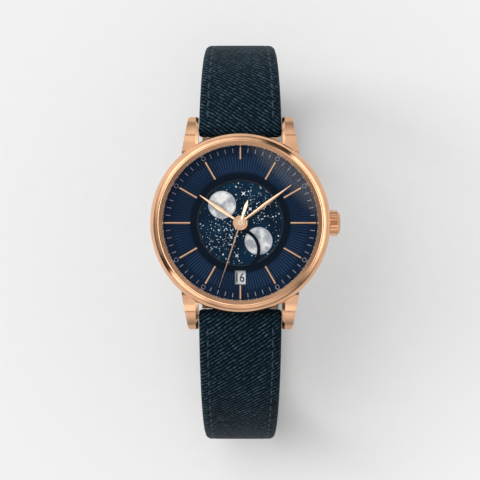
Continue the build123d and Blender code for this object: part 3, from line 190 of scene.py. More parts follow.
# %% [markdown]
# The surround decides how polished metal looks. A gold bezel in an even white room is a flat pale
# ring, so photographers put bright panels and dark flags round it. Seen from above, a face that
# leans out by an angle mirrors what stands twice that angle from straight up. So the surround has
# rows: a low one that the bezel's dome mirrors, a dark gap that its inner bevel mirrors, a high one
# for the dome's crest, and a soft panel overhead for hands, markers and lugs. Each row's brightness
# goes by clock angle: 0 is at 12 o'clock and 90 at 3 o'clock. The low row dims towards the horizon,
# or the crystal would turn white when it is seen at a slant. A small dark hole overhead keeps the
# crystal clear, and a slanted panel beside it makes the crystal's grey reflection. Only reflections
# see all this. Matt surfaces see an even soft light, and the camera sees a plain backdrop.

# %% Surround
world = bpy.data.worlds.new("studio_surround")
bpy.context.scene.world = world
world.use_nodes = True
tree = world.node_tree
tree.nodes.clear()
direction = put(tree, "TexCoord").outputs["Generated"]
to_right, to_twelve, rise = put(tree, "SeparateXYZ", direction).outputs
turn = sums("ARCTAN2", to_right, to_twelve)
full_level = 3.0
low_row = (
    (0, 1.3), (12, 1.0), (19, 0.14), (35, 0.12), (39, 2.6), (105, 2.7), (122, 1.2), (135, 0.34),
    (150, 1.1), (180, 1.35), (200, 0.9), (212, 2.3), (232, 2.6), (237, 0.12), (246, 0.12),
    (252, 0.5), (272, 0.62), (290, 1.7), (305, 2.8), (335, 2.4),
)
high_row = (
    (0, 1.35), (22, 0.6), (42, 2.6), (105, 2.7), (135, 0.4), (165, 1.5), (215, 2.4), (260, 2.3),
    (310, 3.0),
)
low_row_top, gap_top, high_row_top = (0.645, 0.655), (0.69, 0.7), (0.84, 0.9)
hole_edge, hole_level, overhead_level = (0.9935, 0.9965), 0.03, 1.2
veil_level, even_light = 1.5, 0.55


def panel_row(levels):
    """The brightness of a row of panels by clock angle."""
    ramp = put(tree, "ValToRGB", line(turn, 0.5 / math.pi, 0.5))
    stops = sorted((((clock + 180) % 360) / 360, level / full_level) for clock, level in levels)
    (begin, first), (end, last) = stops[0], stops[-1]
    seam = last + (first - last) * (1 - end) / (begin + 1 - end)
    stops = [(0.0, seam), *stops, (1.0, seam)]
    while len(ramp.color_ramp.elements) < len(stops):
        ramp.color_ramp.elements.new(0.5)
    for stop, (place, _) in zip(ramp.color_ramp.elements, stops):
        stop.position = place
    for stop, (_, level) in zip(ramp.color_ramp.elements, stops):
        stop.color = (level, level, level, 1)
    return times(ramp.outputs[0], full_level)


def blend_by(share, first, second):
    """One number or the other, by a share."""
    return sums("ADD", times(sums("SUBTRACT", 1.0, share), first), times(share, second))


gap = line(spread(sums("ABSOLUTE", sums("COSINE", turn)), 0.5, 0.9), 0.25, 0.28)
path = put(tree, "LightPath").outputs
through = sums("GREATER_THAN", path["Transmission Depth"], 1.5)
hole = spread(rise, *hole_edge, overhead_level, hole_level)
hole = sums("MAXIMUM", hole, times(through, overhead_level))
low_panels = times(panel_row(low_row), spread(rise, 0.05, 0.6, 0.4, 1.0))
room = blend_by(spread(rise, *low_row_top), low_panels, gap)
room = blend_by(spread(rise, *gap_top), room, panel_row(high_row))
room = blend_by(spread(rise, *high_row_top), room, hole)
slant = times(sums("ADD", to_right, to_twelve), 0.7071)
beside = sums("ABSOLUTE", sums("SUBTRACT", to_right, to_twelve))
veil = times(spread(slant, 0.049, 0.061), spread(slant, 0.074, 0.09, 1.0, 0.0))
veil = times(veil, spread(beside, 0.045, 0.075, veil_level, 0.0))
veil = times(veil, sums("GREATER_THAN", rise, 0.9), sums("SUBTRACT", 1.0, through))
level = blend_by(path["Is Glossy Ray"], even_light, sums("ADD", room, veil))
room_light = put(tree, "Background", Strength=level).outputs[0]
backdrop_light = put(tree, "Background", Color=paint(*backdrop_white)).outputs[0]
both = put(tree, "MixShader", path["Is Camera Ray"], room_light, backdrop_light).outputs[0]
put(tree, "OutputWorld", Surface=both)
bpy.context.scene.view_settings.view_transform = "Standard"
print("panels in the low row", len(low_row), "in the high row", len(high_row))

# %% [markdown]
# One very large soft panel on the upper left is the key light, so the floor stays clean. A smaller
# one stands low on the left: it brings out the leather's ridges and throws the soft shadow at the
# lower right. Reflections don't see them, as the surround has its own panels for those. Their
# brightness is set so that a floor painted 242 comes out at 242: then every other colour comes out
# about as it is written too.


# %% Lamps
def panel(name, place, side, radiance):
    """A square soft panel of a stated brightness, turned towards the watch."""
    lamp_data = bpy.data.lights.new(name, "AREA")
    lamp_data.shape = "RECTANGLE"
    lamp_data.size = lamp_data.size_y = side
    lamp_data.energy = radiance * math.pi * side * side
    lamp = bpy.data.objects.new(name, lamp_data)
    lamp.visible_glossy = False
    lamp.location = place
    aim = Vector((0, 0, -10 * mm))
    lamp.rotation_euler = (aim - Vector(place)).to_track_quat("-Z", "Y").to_euler()
    bpy.context.scene.collection.objects.link(lamp)


panel("key_panel", (-0.75, 0.75, 1.5), 1.7, 2.2)
panel("low_panel", (-1.48, 0.45, 0.82), 0.6, 9.0)

# %% [markdown]
# Every finish starts in the same way: a Principled shader and a place on the piece, which is an
# Object coordinate or a UV map. The helpers below start one, mix another shader into it, let a
# height tilt its normal, and turn a finished bmesh into an object.


# %% Finish and mesh helpers
finishes = {}


def finish(name, uv_map=None, **constants):
    """A material that is kept by name: gives its shader and the place on the piece."""
    material = finishes[name] = bpy.data.materials.new(name)
    material.use_nodes = True
    tree = material.node_tree
    tree.nodes.clear()
    shader = put(tree, "BsdfPrincipled", **constants)
    put(tree, "OutputMaterial", Surface=shader.outputs[0])
    if uv_map:
        return shader, put(tree, "UVMap", uv_map=uv_map).outputs["UV"]
    return shader, put(tree, "TexCoord").outputs["Object"]


def mix_in(shader, share, other):
    """Mixes another shader into a finish by a share."""
    tree = shader.id_data
    look = put(tree, "MixShader", share, shader.outputs[0], other.outputs[0])
    output = next(node for node in tree.nodes if node.type == "OUTPUT_MATERIAL")
    fill(output, Surface=look.outputs[0])


def emboss(shader, height, strength, depth):
    """Lets a height tilt a shader's normal."""
    bump = put(shader.id_data, "Bump", Strength=strength, Distance=depth, Height=height)
    fill(shader, Normal=bump.outputs[0])


def mesh_object(name, work, *names):
    """An object in the scene made from a bmesh, with finishes by name."""
    mesh = bpy.data.meshes.new(name)
    work.to_mesh(mesh)
    work.free()
    made = bpy.data.objects.new(name, mesh)
    bpy.context.scene.collection.objects.link(made)
    for finish_name in names:
        mesh.materials.append(finishes[finish_name])
    return made


print("finish helpers ready")

# %% [markdown]
# The floor is one large pale sheet just under the buckle, and it isn't part of the watch. Its grain is a
# faint noise that only breaks up the evenness of the colour. Away from the watch the camera sees the
# backdrop's colour on it, so floor and backdrop run into each other with no line at the horizon. Near the
# watch it stays a plain lit floor and keeps the shadow.

# %% Floor
floor_level = cad_low.z - 0.02 * mm
shadow_reach, backdrop_reach = 0.053, 0.095
shader, place = finish("pale_floor", Roughness=0.9, Specular_IOR_Level=0.1)
fill(shader, Base_Color=tint(noise(place, 300.0, 3.0), (240, 240, 240), (244, 244, 244)))
path = put(shader.id_data, "LightPath").outputs
seen = sums("MAXIMUM", path["Is Camera Ray"], path["Is Transmission Ray"])
share = times(seen, spread(length(place), shadow_reach, backdrop_reach))
mix_in(shader, share, put(shader.id_data, "Emission", Color=paint(*backdrop_white)))
work = bmesh.new()
bmesh.ops.create_grid(work, x_segments=1, y_segments=1, size=3.0)
bmesh.ops.translate(work, verts=work.verts, vec=(0, 0, floor_level))
floor = mesh_object("pale_floor", work, "pale_floor")
print("floor at mm", round(floor_level / mm, 3))

# %% [markdown]
# ## Shared surface effects
# Effects that several finishes use are node groups, built once. Each gives masks and heights only;
# the shader that uses them stays in its own material. This helper makes an empty group with named
# sockets.


# %% Group helper
def effect(name, takes, gives):
    """A shader node group. takes holds start values by label, gives holds labels."""
    nodes = bpy.data.node_groups.new(name, "ShaderNodeTree")
    for label, value in takes.items():
        kind = "NodeSocketVector" if value is None else "NodeSocketFloat"
        made = nodes.interface.new_socket(label, in_out="INPUT", socket_type=kind)
        if value is not None:
            made.default_value = value
    for label in gives:
        nodes.interface.new_socket(label, in_out="OUTPUT", socket_type="NodeSocketFloat")
    return nodes, nodes.nodes.new("NodeGroupInput").outputs, nodes.nodes.new("NodeGroupOutput")


def use(nodes, place, **values):
    """Places a group in the tree of a place's socket, with its own values."""
    return put(place.id_data, "Group", node_tree=nodes, Place=place, **values).outputs


print("group helper ready")

# %% [markdown]
# Polished metal is never quite even. Handling leaves hazy patches some millimetres wide, and
# wiping leaves hairlines. The haze is a soft noise, and the hairlines are a noise squeezed in one
# direction. Scale counts features per metre, because the watch is built in metres.

# %% Handling marks
handling, takes, gives = effect(
    "handling_marks", {"Place": None, "Haze Size": 260.0, "Hairline Size": 9000.0}, ("Haze", "Hairlines")
)
haze = noise(takes["Place"], takes["Haze Size"], 4.0, 0.6)
squeeze = put(handling, "Mapping", takes["Place"], Rotation=(0.3, 0.5, 0.7), Scale=(1.0, 0.06, 1.0))
lines = noise(squeeze.outputs[0], takes["Hairline Size"])
fill(gives, Haze=spread(haze, 0.35, 0.7), Hairlines=spread(lines, 0.45, 0.75))
print("handling marks:", [s.name for s in handling.interface.items_tree])

# %% [markdown]
# Turned faces, such as the case back and the wheels, carry fine rings from the lathe. In polar
# terms that is a noise that changes quickly with the radius and slowly with the angle. The same
# two numbers serve the dial's rays, so the group gives them out as well.

# %% Round about an axis
turning, takes, gives = effect(
    "round_about_an_axis", {"Place": None, "Ring Size": 12000.0}, ("Radius", "Turn", "Rings")
)
x, y, _ = put(turning, "SeparateXYZ", takes["Place"]).outputs
radius = length(put(turning, "CombineXYZ", x, y).outputs[0])
angle = sums("ARCTAN2", x, y)
round_ring = (times(radius, takes["Ring Size"]), sums("SINE", angle), sums("COSINE", angle))
rings = noise(put(turning, "CombineXYZ", *round_ring).outputs[0], 1.0)
fill(gives, Radius=radius, Turn=angle, Rings=rings)
print("round about an axis:", [s.name for s in turning.interface.items_tree])

# %% [markdown]
# ## Metals
# One recipe makes all the metals: a base colour that shifts a little in the haze, a roughness that
# the haze and hairlines raise, and a bump of a few micrometres. What changes is the colour, how
# bright the polish is, and whether the piece was turned on a lathe.


# %% Metal recipe
def metal(name, colour, polish, haze=0.05, scratch=0.4, turned=0.0, centre=(0, 0, 0)):
    """A metal finish: polish is its roughness, turned the strength of its lathe rings."""
    shader, place = finish(name, Metallic=1.0)
    marks = use(handling, place)
    rough = line(marks["Hairlines"], haze * 0.6, line(marks["Haze"], haze, polish))
    height = times(marks["Hairlines"], scratch)
    if turned:
        centring = put(shader.id_data, "Mapping", place, Location=[-c for c in centre])
        lathe = use(turning, centring.outputs[0])["Rings"]
        height, rough = line(lathe, turned, height), line(lathe, 0.08, rough)
    darker = [step * 0.93 for step in colour]
    fill(shader, Base_Color=tint(marks["Haze"], colour, darker), Roughness=rough)
    emboss(shader, height, 0.5, 0.000004)


metal("rose_gold_polish", (242, 188, 148), 0.06, haze=0.025, scratch=0.12)
metal("case_gold", (228, 178, 140), 0.1)
metal("inner_ring_gold", (228, 186, 156), 0.16, haze=0.08)
metal("hand_gold", (240, 196, 162), 0.14, haze=0.03)
metal("needle_gold", (255, 232, 206), 0.3, haze=0.03)
metal("brushed_back_steel", (196, 194, 190), 0.24, turned=3.0)
metal("machined_steel", (188, 188, 190), 0.28, haze=0.1)
metal("battery_can", (204, 204, 200), 0.2, turned=1.2, centre=(-6.6 * mm, 5.6 * mm, 0))
metal("gilt_plate", (206, 178, 120), 0.32, haze=0.1, turned=1.5)
metal("gilt_wheels", (222, 190, 124), 0.22, turned=0.8)
metal("soft_iron", (150, 148, 146), 0.35, haze=0.12)
metal("oscillator_can_metal", (182, 184, 188), 0.22)
print("metals", sorted(set(finishes) - {"pale_floor"}))

# %% [markdown]
# ## Plastics, rubber, copper and the circuit board
# These are hidden in the closed case, but they show when the model is taken apart. Moulded plastic
# has a fine orange-peel surface, rubber is matt with dust on it, the coil is thousands of turns of
# lacquered wire, and the board has copper tracks under green lacquer. The strap's thread is made
# like the coil, with a twist that runs at a slant.


# %% Plain materials
def moulded(name, colour, roughness, pebble):
    """Moulded plastic or rubber: a fine pebbled skin and a slightly uneven colour."""
    shader, place = finish(name)
    grain = noise(place, 4000.0, 3.0)
    paler = [min(255, step * 1.18 + 6) for step in colour]
    colour = tint(noise(place, 300.0), colour, paler)
    fill(shader, Base_Color=colour, Roughness=line(grain, 0.2, roughness))
    emboss(shader, grain, pebble, 0.00001)


def patterned(name, kind, pattern, dark, light, relief, constants):
    """A finish whose colour and relief both follow one texture node."""
    shader, place = finish(name, **constants)
    value = put(shader.id_data, kind, Vector=place, **pattern).outputs["Fac"]
    fill(shader, Base_Color=tint(value, dark, light))
    emboss(shader, value, *relief)


moulded("gasket_rubber", (30, 30, 32), 0.6, 0.6)
moulded("holder_plastic", (226, 224, 216), 0.35, 0.35)
moulded("wheel_plastic", (196, 60, 52), 0.3, 0.2)
turns = {"wave_type": "BANDS", "bands_direction": "X", "Scale": 4200.0, "Distortion": 0.6}
lacquer = {"Metallic": 0.9, "Roughness": 0.3}
patterned("coil_copper", "TexWave", turns, (120, 56, 30), (206, 116, 72), (0.8, 0.00001), lacquer)
tracks = {"Scale": 420.0, "Mortar_Size": 0.03, "Row_Height": 0.5}
matt = {"Roughness": 0.35}
patterned("board_green", "TexBrick", tracks, (22, 86, 52), (70, 132, 78), (0.5, 0.00002), matt)
twist = {"wave_type": "BANDS", "bands_direction": "DIAGONAL", "Scale": 2600.0, "Distortion": 1.0}
wax = {"Roughness": 0.5}
patterned("waxed_thread", "TexWave", twist, (20, 34, 46), (44, 64, 80), (0.7, 0.00004), wax)
print("finishes so far", len(finishes))

# %% [markdown]
# ## Crystal
# The crystal is clear glass. A renderer that follows light through glass would leave the dial in
# the dark, so rays that run to a lamp, or leave the dial, pass straight through: a Mix Shader swaps
# in a Transparent shader for them. A faint smear noise on the roughness keeps the reflection from
# being perfect.

# %% Crystal glass
clear_glass = {"Base_Color": (1, 1, 1, 1), "Transmission_Weight": 1.0, "IOR": 1.5}
shader, place = finish("crystal_glass", **clear_glass)
fill(shader, Roughness=times(use(handling, place)["Haze"], 0.012))
path = put(shader.id_data, "LightPath").outputs
lit = sums("MAXIMUM", path["Is Shadow Ray"], path["Is Diffuse Ray"])
lit = sums("MAXIMUM", lit, path["Is Reflection Ray"])
mix_in(shader, lit, put(shader.id_data, "BsdfTransparent"))
print("crystal ready")

# %% [markdown]
# ## Dial
# A stamped dial has two finishes. Fine brushed rays run out from the middle under the lacquer, and a press
# leaves deeper pleats in a band between the markers' inner and outer ends. Both depend only on the angle,
# so they come from the turn about the middle. The pleats are also painted paler in random patches, as a
# painted sheen where they would catch the light. A plain ring is left round the opening. The lacquer is
# satin, so the rays catch the light and the crystal has the only gloss.

# %% Dial lacquer
shader, place = finish("navy_rays", Metallic=0.4, Specular_IOR_Level=0.06)
polar = use(turning, place, Ring_Size=6000.0)
radius, angle = polar["Radius"], polar["Turn"]
ray_count, ray_drift, pleat_turns = 90.0, 260.0, 144.0
ray_place = put(shader.id_data, "CombineXYZ", times(angle, ray_count), times(radius, ray_drift))
rays = noise(ray_place.outputs[0], 1.0, 4.0, 0.7)
inner_fade = spread(radius, 9.3 * mm, 10.0 * mm)
outer_fade = spread(radius, 12.2 * mm, 13.1 * mm, 1.0, 0.0)
# Random patches where the pleats are deeper and their painted sheen shows more.
pleat_and_sheen_patches = spread(noise(place, 120.0, 1.0), 0.38, 0.62, 0.25, 1.0)
pleats = times(sums("SINE", times(angle, pleat_turns)), inner_fade, outer_fade, pleat_and_sheen_patches)
plain_ring = spread(radius, 9.35 * mm, 9.6 * mm)
shade = tint(rays, (5, 17, 36), (18, 38, 64))
# The pleats' paler tone is a painted sheen: the pleats are painted lighter where they would catch the
# light.
shade = tint(spread(pleats, -0.2, 0.9), shade, (34, 60, 90))
shade = tint(plain_ring, (6, 20, 34), shade)
fill(shader, Base_Color=shade, Roughness=line(rays, 0.15, 0.25))
emboss(shader, times(line(pleats, 0.5, times(rays, 0.25)), plain_ring), 0.7, 0.00006)
print("dial lacquer ready")

# %% [markdown]
# ## Moon disc
# The disc under the opening is a night sky: a teal navy that is uneven like thin cloud, sprinkled
# with the finest dust of stars. The larger stars and the two moons are printed pieces of their
# own, further down, so that they stay crisp.

# %% Night sky
shader, place = finish("night_sky", Specular_IOR_Level=0.06)
cloud = noise(place, 220.0, 5.0, 0.6)
night = tint(spread(cloud, 0.3, 0.75), (3, 24, 42), (12, 48, 72))
dust = put(shader.id_data, "TexVoronoi", Vector=place, Scale=2600.0).outputs
speck = spread(dust["Distance"], 0.08, 0.2, 1.0, 0.0)
few = spread(put(shader.id_data, "SeparateColor", dust["Color"]).outputs[0], 0.72, 0.98)
patchy = spread(cloud, 0.45, 0.62)
sky = tint(times(speck, few, patchy), night, (150, 190, 210))
fill(shader, Base_Color=sky, Roughness=line(cloud, 0.2, 0.3))
print("night sky ready")

# %% [markdown]
# ## Leather
# The strap is embossed with diagonal ridges, each a row of small beads like the scales of a
# lizard. The pattern follows the strap over its bends, so it reads the piece's UV map, which holds
# metres across and metres along. A slightly shaken Voronoi, stretched along the ridge, gives the
# beads; a sine across it gives the ridge. A little noise bends both, as no skin is regular.

# %% Embossed ridges
ridge_sizes = {"Place": None, "Lean": 0.62, "Pitch": 0.00066, "Bead": 0.0009}
ridges, takes, gives = effect("embossed_ridges", ridge_sizes, ("Height", "Shade"))
warp = put(ridges, "TexNoise", Vector=takes["Place"], Scale=700.0).outputs["Color"]
off = put(ridges, "VectorMath", warp, (0.5, 0.5, 0.5), operation="SUBTRACT").outputs[0]
shake = (0.0005, 0.0005, 0.0)
bend = put(ridges, "VectorMath", off, shake, takes["Place"], operation="MULTIPLY_ADD")
x, y, _ = put(ridges, "SeparateXYZ", bend.outputs[0]).outputs
cosine, sine = sums("COSINE", takes["Lean"]), sums("SINE", takes["Lean"])
row = sums("DIVIDE", line(x, sine, times(y, cosine)), takes["Pitch"])
along = sums("SUBTRACT", times(x, cosine), times(y, sine))
ridge = line(sums("COSINE", times(row, 2 * math.pi)), 0.5, 0.5)
bead_place = put(ridges, "CombineXYZ", sums("DIVIDE", along, takes["Bead"]), row).outputs[0]
beads = put(ridges, "TexVoronoi", Vector=bead_place, Scale=1.0, Randomness=0.45).outputs
bead = spread(beads["Distance"], 0.15, 0.75, 1.0, 0.0)
height = line(times(ridge, bead), 0.6, times(ridge, 0.4))
fill(gives, Height=height, Shade=put(ridges, "SeparateColor", beads["Color"]).outputs[0])
print("embossed ridges:", [s.name for s in ridges.interface.items_tree])

# %% [markdown]
# Smooth leather is used for the lining and shows in the embossed leather's valleys too: pores as small dark
# pits, and creases as the edges of a larger cell pattern. Where smooth leather uses them, the creases are
# also painted darker, as painted shade in the folds.

# %% Pores and creases
pore_sizes = {"Place": None, "Pore Size": 5200.0, "Crease Size": 900.0}
pores, takes, gives = effect("pores_and_creases", pore_sizes, ("Pores", "Creases"))
pits = put(pores, "TexVoronoi", Vector=takes["Place"], Scale=takes["Pore Size"])
cells = {"Vector": takes["Place"], "Scale": takes["Crease Size"]}
folds = put(pores, "TexVoronoi", feature="DISTANCE_TO_EDGE", **cells)
fill(gives, Pores=spread(pits.outputs["Distance"], 0.05, 0.4))
fill(gives, Creases=spread(folds.outputs["Distance"], 0.0, 0.12))
print("pores and creases:", [s.name for s in pores.interface.items_tree])

# %% [markdown]
# The outer leather is a dark navy. Its valleys are painted darker, as painted shade in the hollows of the
# ridges. Its ridge tops are painted a paler grey blue, partly as rubbed leather and partly as a painted
# highlight where the ridges catch the light. A large noise makes the paler tops patchy.

# %% Navy leather
shader, spot = finish("navy_ridged_leather", uv_map="strap_metres", Specular_IOR_Level=0.05)
# The valleys' colour is painted shade in the hollows of the ridges; the paler colour of the tops is partly
# rubbed leather and partly a painted highlight.
valley_shade, body, rubbed_highlight = (2, 8, 14), (14, 36, 48), (70, 98, 112)
grain = use(ridges, spot)
height = grain["Height"]
# Where the tops go paler: patchy rubbing, and a painted highlight on the high parts of the ridges.
rubbed_and_highlit = times(spread(height, 0.4, 0.85), spread(noise(spot, 260.0, 3.0), 0.3, 0.7, 0.55, 1.0))
rubbed_and_highlit = times(rubbed_and_highlit, spread(grain["Shade"], 0.0, 1.0, 0.35, 1.0))
colour = tint(rubbed_and_highlit, tint(spread(height, 0.05, 0.5), valley_shade, body), rubbed_highlight)
fill(shader, Base_Color=colour, Roughness=line(height, -0.18, 0.58))
emboss(shader, line(use(pores, spot)["Pores"], 0.06, height), 0.9, 0.00016)
print("navy leather ready")


# %% Lining and edge paint
def smooth_leather(name, deep, light, roughness, depth):
    """Smooth leather or edge paint, by Object coordinates."""
    shader, place = finish(name)
    skin = use(pores, place)
    colour = tint(noise(place, 180.0, 4.0), deep, light)
    # The creases are painted darker, as painted shade in the folds.
    colour = tint(skin["Creases"], [step * 0.7 for step in deep], colour)
    fill(shader, Base_Color=colour, Roughness=line(skin["Pores"], -0.1, roughness))
    emboss(shader, line(skin["Pores"], 0.4, times(skin["Creases"], 0.6)), 0.6, depth)


smooth_leather("lining_leather", (92, 62, 44), (128, 90, 64), 0.62, 0.00004)
smooth_leather("painted_edge", (14, 22, 30), (24, 36, 46), 0.42, 0.00003)
print("lining and edge paint ready")

# %% [markdown]
# ## Paper white and print
# The date ring, the minute track and the stars are flat print, with a faint unevenness of the ink
# and a dull face. On the stars the two tones are pulled further apart.


# %% Print finishes
def printed(name, scale, detail, dark, light, pulled=False):
    """Flat print in two tones that lie close together."""
    shader, place = finish(name)
    ink = noise(place, scale, detail)
    colour = tint(spread(ink, 0.35, 0.65) if pulled else ink, dark, light)
    fill(shader, Base_Color=colour, Roughness=line(ink, 0.2, 0.4))


printed("date_white", 3000.0, 3.0, (234, 236, 236), (246, 248, 248))
printed("pale_print", 5000.0, 2.0, (150, 152, 172), (204, 204, 216))
printed("star_print", 900.0, 1.0, (190, 222, 238), (250, 252, 254), pulled=True)
moulded("date_ink", (16, 16, 18), 0.4, 0.2)
# The dark navy of the opening's lip is painted shade round the rim of the dial's opening.
moulded("shade_lip_navy", (6, 18, 30), 0.5, 0.1)
print("finishes in all", len(finishes))

# %% [markdown]
# ## Finishes on the CAD pieces
# Each hard piece keeps its CAD shape and gets its finish in its own material slots. A table of
# finish and nodes is easier to check than a long list of calls, and the line it prints must name
# no node that is left.

# %% Give each node its finish
finish_nodes = {
    "rose_gold_polish": "bezel",
    "case_gold": "case_middle crown buckle_frame buckle_tang",
    "inner_ring_gold": "dial_ring",
    "hand_gold": "hour_markers hour_hand minute_hand",
    "needle_gold": "seconds_hand",
    "brushed_back_steel": "case_back",
    "machined_steel": (
        "buckle_pin upper_bar_tube lower_bar_tube upper_bar_spring lower_bar_spring"
        " upper_left_bar_tip upper_right_bar_tip lower_left_bar_tip lower_right_bar_tip crown_tube"
        " stem setting_lever bridge_screws battery_clamp cannon_pinion"
    ),
    "battery_can": "battery",
    "gilt_plate": "main_plate train_bridge calendar_plate",
    "gilt_wheels": "centre_wheel third_wheel seconds_wheel minute_wheel hour_wheel",
    "soft_iron": "stator coil_core",
    "wheel_plastic": "rotor fifth_wheel",
    "oscillator_can_metal": "quartz_oscillator",
    "coil_copper": "coil_winding",
    "board_green": "circuit_board",
    "holder_plastic": "movement_holder",
    "gasket_rubber": "back_gasket crown_gasket",
    "crystal_glass": "crystal",
    "navy_rays": "dial",
    "night_sky": "moon_disc",
    "navy_ridged_leather": "upper_strap lower_strap fixed_keeper free_keeper",
    "lining_leather": "upper_lining lower_lining",
    "date_white": "date_ring",
}
finished = set()
for finish_name, names in finish_nodes.items():
    for name in names.split():
        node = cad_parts[name]
        node.data.materials.clear()
        node.data.materials.append(finishes[finish_name])
        finished.add(name)
print("nodes finished", len(finished), "left", sorted(set(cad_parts) - finished))

# %% [markdown]
# ## The strap's side view
# Each strap half is drawn from the side first: it leaves the spring bar, bends down the wrist,
# bends under it, and lies flat at the buckle. The outer and inner faces are two such lines, and
# every point of the leather lies between them. This helper gives a point of one line for a zone
# of the strap and a share of the way along it.

# %% Side view of a strap half
bar_out, bar_up = 17.9 * mm, 1.95 * mm
roll_radius, strap_lead = 1.5 * mm, 3.0 * mm
lining_wall = 0.8 * mm


def ways(side, slope):
    """The way ahead along the sloping lead of a strap half, and the way out of its face."""
    lean = math.radians(slope)
    ahead = Vector((side * math.cos(lean), -math.sin(lean)))
    return lean, ahead, Vector((side * math.sin(lean), math.cos(lean)))


def side_line(side, slope, start, first_bend, second_bend, end_y):
    """A function of zone and share that runs along one face of a strap half, in Y and Z."""
    lean, ahead, out = ways(side, slope)
    begin = Vector((side * bar_out, bar_up)) + start * out
    first_middle = begin + strap_lead * ahead - first_bend * out
    outermost = first_middle + Vector((side * first_bend, 0))
    second_middle = outermost - Vector((side * second_bend, 0))
    flat_start = second_middle + Vector((0, -second_bend))

    def at(zone, share):
        if zone == "lead":
            return begin + share * strap_lead * ahead
        if zone == "wrist":
            turned = share * (math.pi / 2 - lean)
            return first_middle + first_bend * (math.cos(turned) * out + math.sin(turned) * ahead)
        if zone == "under":
            turned = share * math.pi / 2
            ray = Vector((side * math.cos(turned), -math.sin(turned)))
            return second_middle + second_bend * ray
        return Vector((flat_start.x + share * (end_y - flat_start.x), flat_start.y))

    return at


def inner_bends(slope, first_bend, second_bend, middle, end):
    """Radii of the inner face, so that the strap thins from its roll to its end."""
    lean = math.radians(slope)
    step_in = (middle - 2 * roll_radius * math.sin(lean)) / (1 - math.sin(lean))
    drop = (2 * roll_radius - step_in) * math.cos(lean)
    return first_bend - step_in, second_bend - end - drop


halves = {}
for place, side, slope, first, second, end, end_y, bend_half in (
    ("upper", 1, 25.0, 28.0 * mm, 16.8 * mm, 2.2 * mm, 1.5 * mm, 6.8 * mm),
    ("lower", -1, 15.0, 33.0 * mm, 12.882 * mm, 1.9 * mm, 20.5 * mm, 7.0 * mm),
):
    inner = inner_bends(slope, first, second, 2.2 * mm, end)
    half = halves[place] = {"side": side, "slope": slope, "end": end, "end_y": end_y}
    half["outer"] = side_line(side, slope, roll_radius, first, second, end_y)
    half["inner"] = side_line(side, slope, -roll_radius, *inner, end_y)
    half["bend_half"], half["flat_z"] = bend_half, half["outer"]("flat", 1).y
    half["flat_start"] = half["outer"]("flat", 0).x
    print(place, "outer and inner end mm", [half[line]("flat", 1) / mm for line in ("outer", "inner")])

# %% [markdown]
# ## The strap's widths
# Seen from the front, the strap narrows steadily from the lugs to the buckle, so its half width
# follows its height. Across it, the columns of the mesh are close together at the edge, where the
# leather is turned over a padded core and sewn down, and wide apart in the middle. Two columns
# keep a fixed place beside the middle, because the buckle's slots are cut between them.

# %% Columns across a strap
lug_half, flat_half, slot_half = 7.9 * mm, 6.0 * mm, 1.0 * mm
edge_steps = [step * mm for step in (0, 0.12, 0.4, 0.75, 1.15, 1.45, 1.65, 1.85, 2.3)]
slot_column = len(edge_steps) + 2
shoulder_reach, shoulder_drop = 1.3 * mm, 0.95
stitch_inset, dip_spread, dip_drop = 1.65 * mm, 0.22 * mm, 0.13


def half_width(half, z):
    """Half the strap's width at a height."""
    bend_z, flat_z = half["outer"]("under", 0).y, half["inner"]("flat", 1).y
    if z >= bar_up:
        return lug_half
    if z >= bend_z:
        return lug_half + (bar_up - z) / (bar_up - bend_z) * (half["bend_half"] - lug_half)
    if z >= flat_z:
        return half["bend_half"] + (bend_z - z) / (bend_z - flat_z) * (flat_half - half["bend_half"])
    return flat_half


def squeeze_of(width):
    """How much the steps across are squeezed where the strap is narrow."""
    return min(1.0, width / flat_half)


def column_places(width):
    """X of every column, from the left edge to the right."""
    squeeze = squeeze_of(width)
    right = [width - squeeze * step for step in edge_steps]
    slot = squeeze * slot_half
    right += [slot + (right[-1] - slot) * share for share in (2 / 3, 1 / 3)] + [slot]
    return [-x for x in right] + [0.0] + right[::-1]


def padding_drop(column, count):
    """How far the padded face falls at a column: a round shoulder at the edge and a sewn dip."""
    step = min(column, count - column)
    if step >= len(edge_steps):
        return 0.0
    reach = edge_steps[step] / shoulder_reach
    shoulder = 0.0 if reach >= 1 else 1 - math.sqrt(1 - (1 - reach) ** 2)
    dip = math.exp(-(((edge_steps[step] - stitch_inset) / dip_spread) ** 2))
    return (shoulder_drop * shoulder + dip_drop * dip) * mm


widths = [half_width(halves["upper"], z * mm) / mm for z in (0, -20, -38)]
print("columns", len(column_places(lug_half)), "half widths", [round(width, 2) for width in widths])

# %% [markdown]
# ## A sheet of leather
# The sheet starts as a flat slab of unit squares: a grid, solidified. Its X and Y count columns
# and rows, and its Z is 0 on the face and -1 underneath. Slots are squares left out before it is
# solidified. Then every vertex is moved to the place that its column and row have on the bent
# strap. The counting makes the UV map too, in metres across and metres along.

# %% Bend a slab into a strap
tip_round = 4.5 * mm


def counted_grid(columns, rows):
    """A bmesh grid whose X and Y count its columns and rows."""
    work = bmesh.new()
    bmesh.ops.create_grid(work, x_segments=columns, y_segments=rows, size=0.5)
    bmesh.ops.translate(work, verts=work.verts, vec=(0.5, 0.5, 0))
    bmesh.ops.scale(work, verts=work.verts, vec=(columns, rows, 1))
    return work


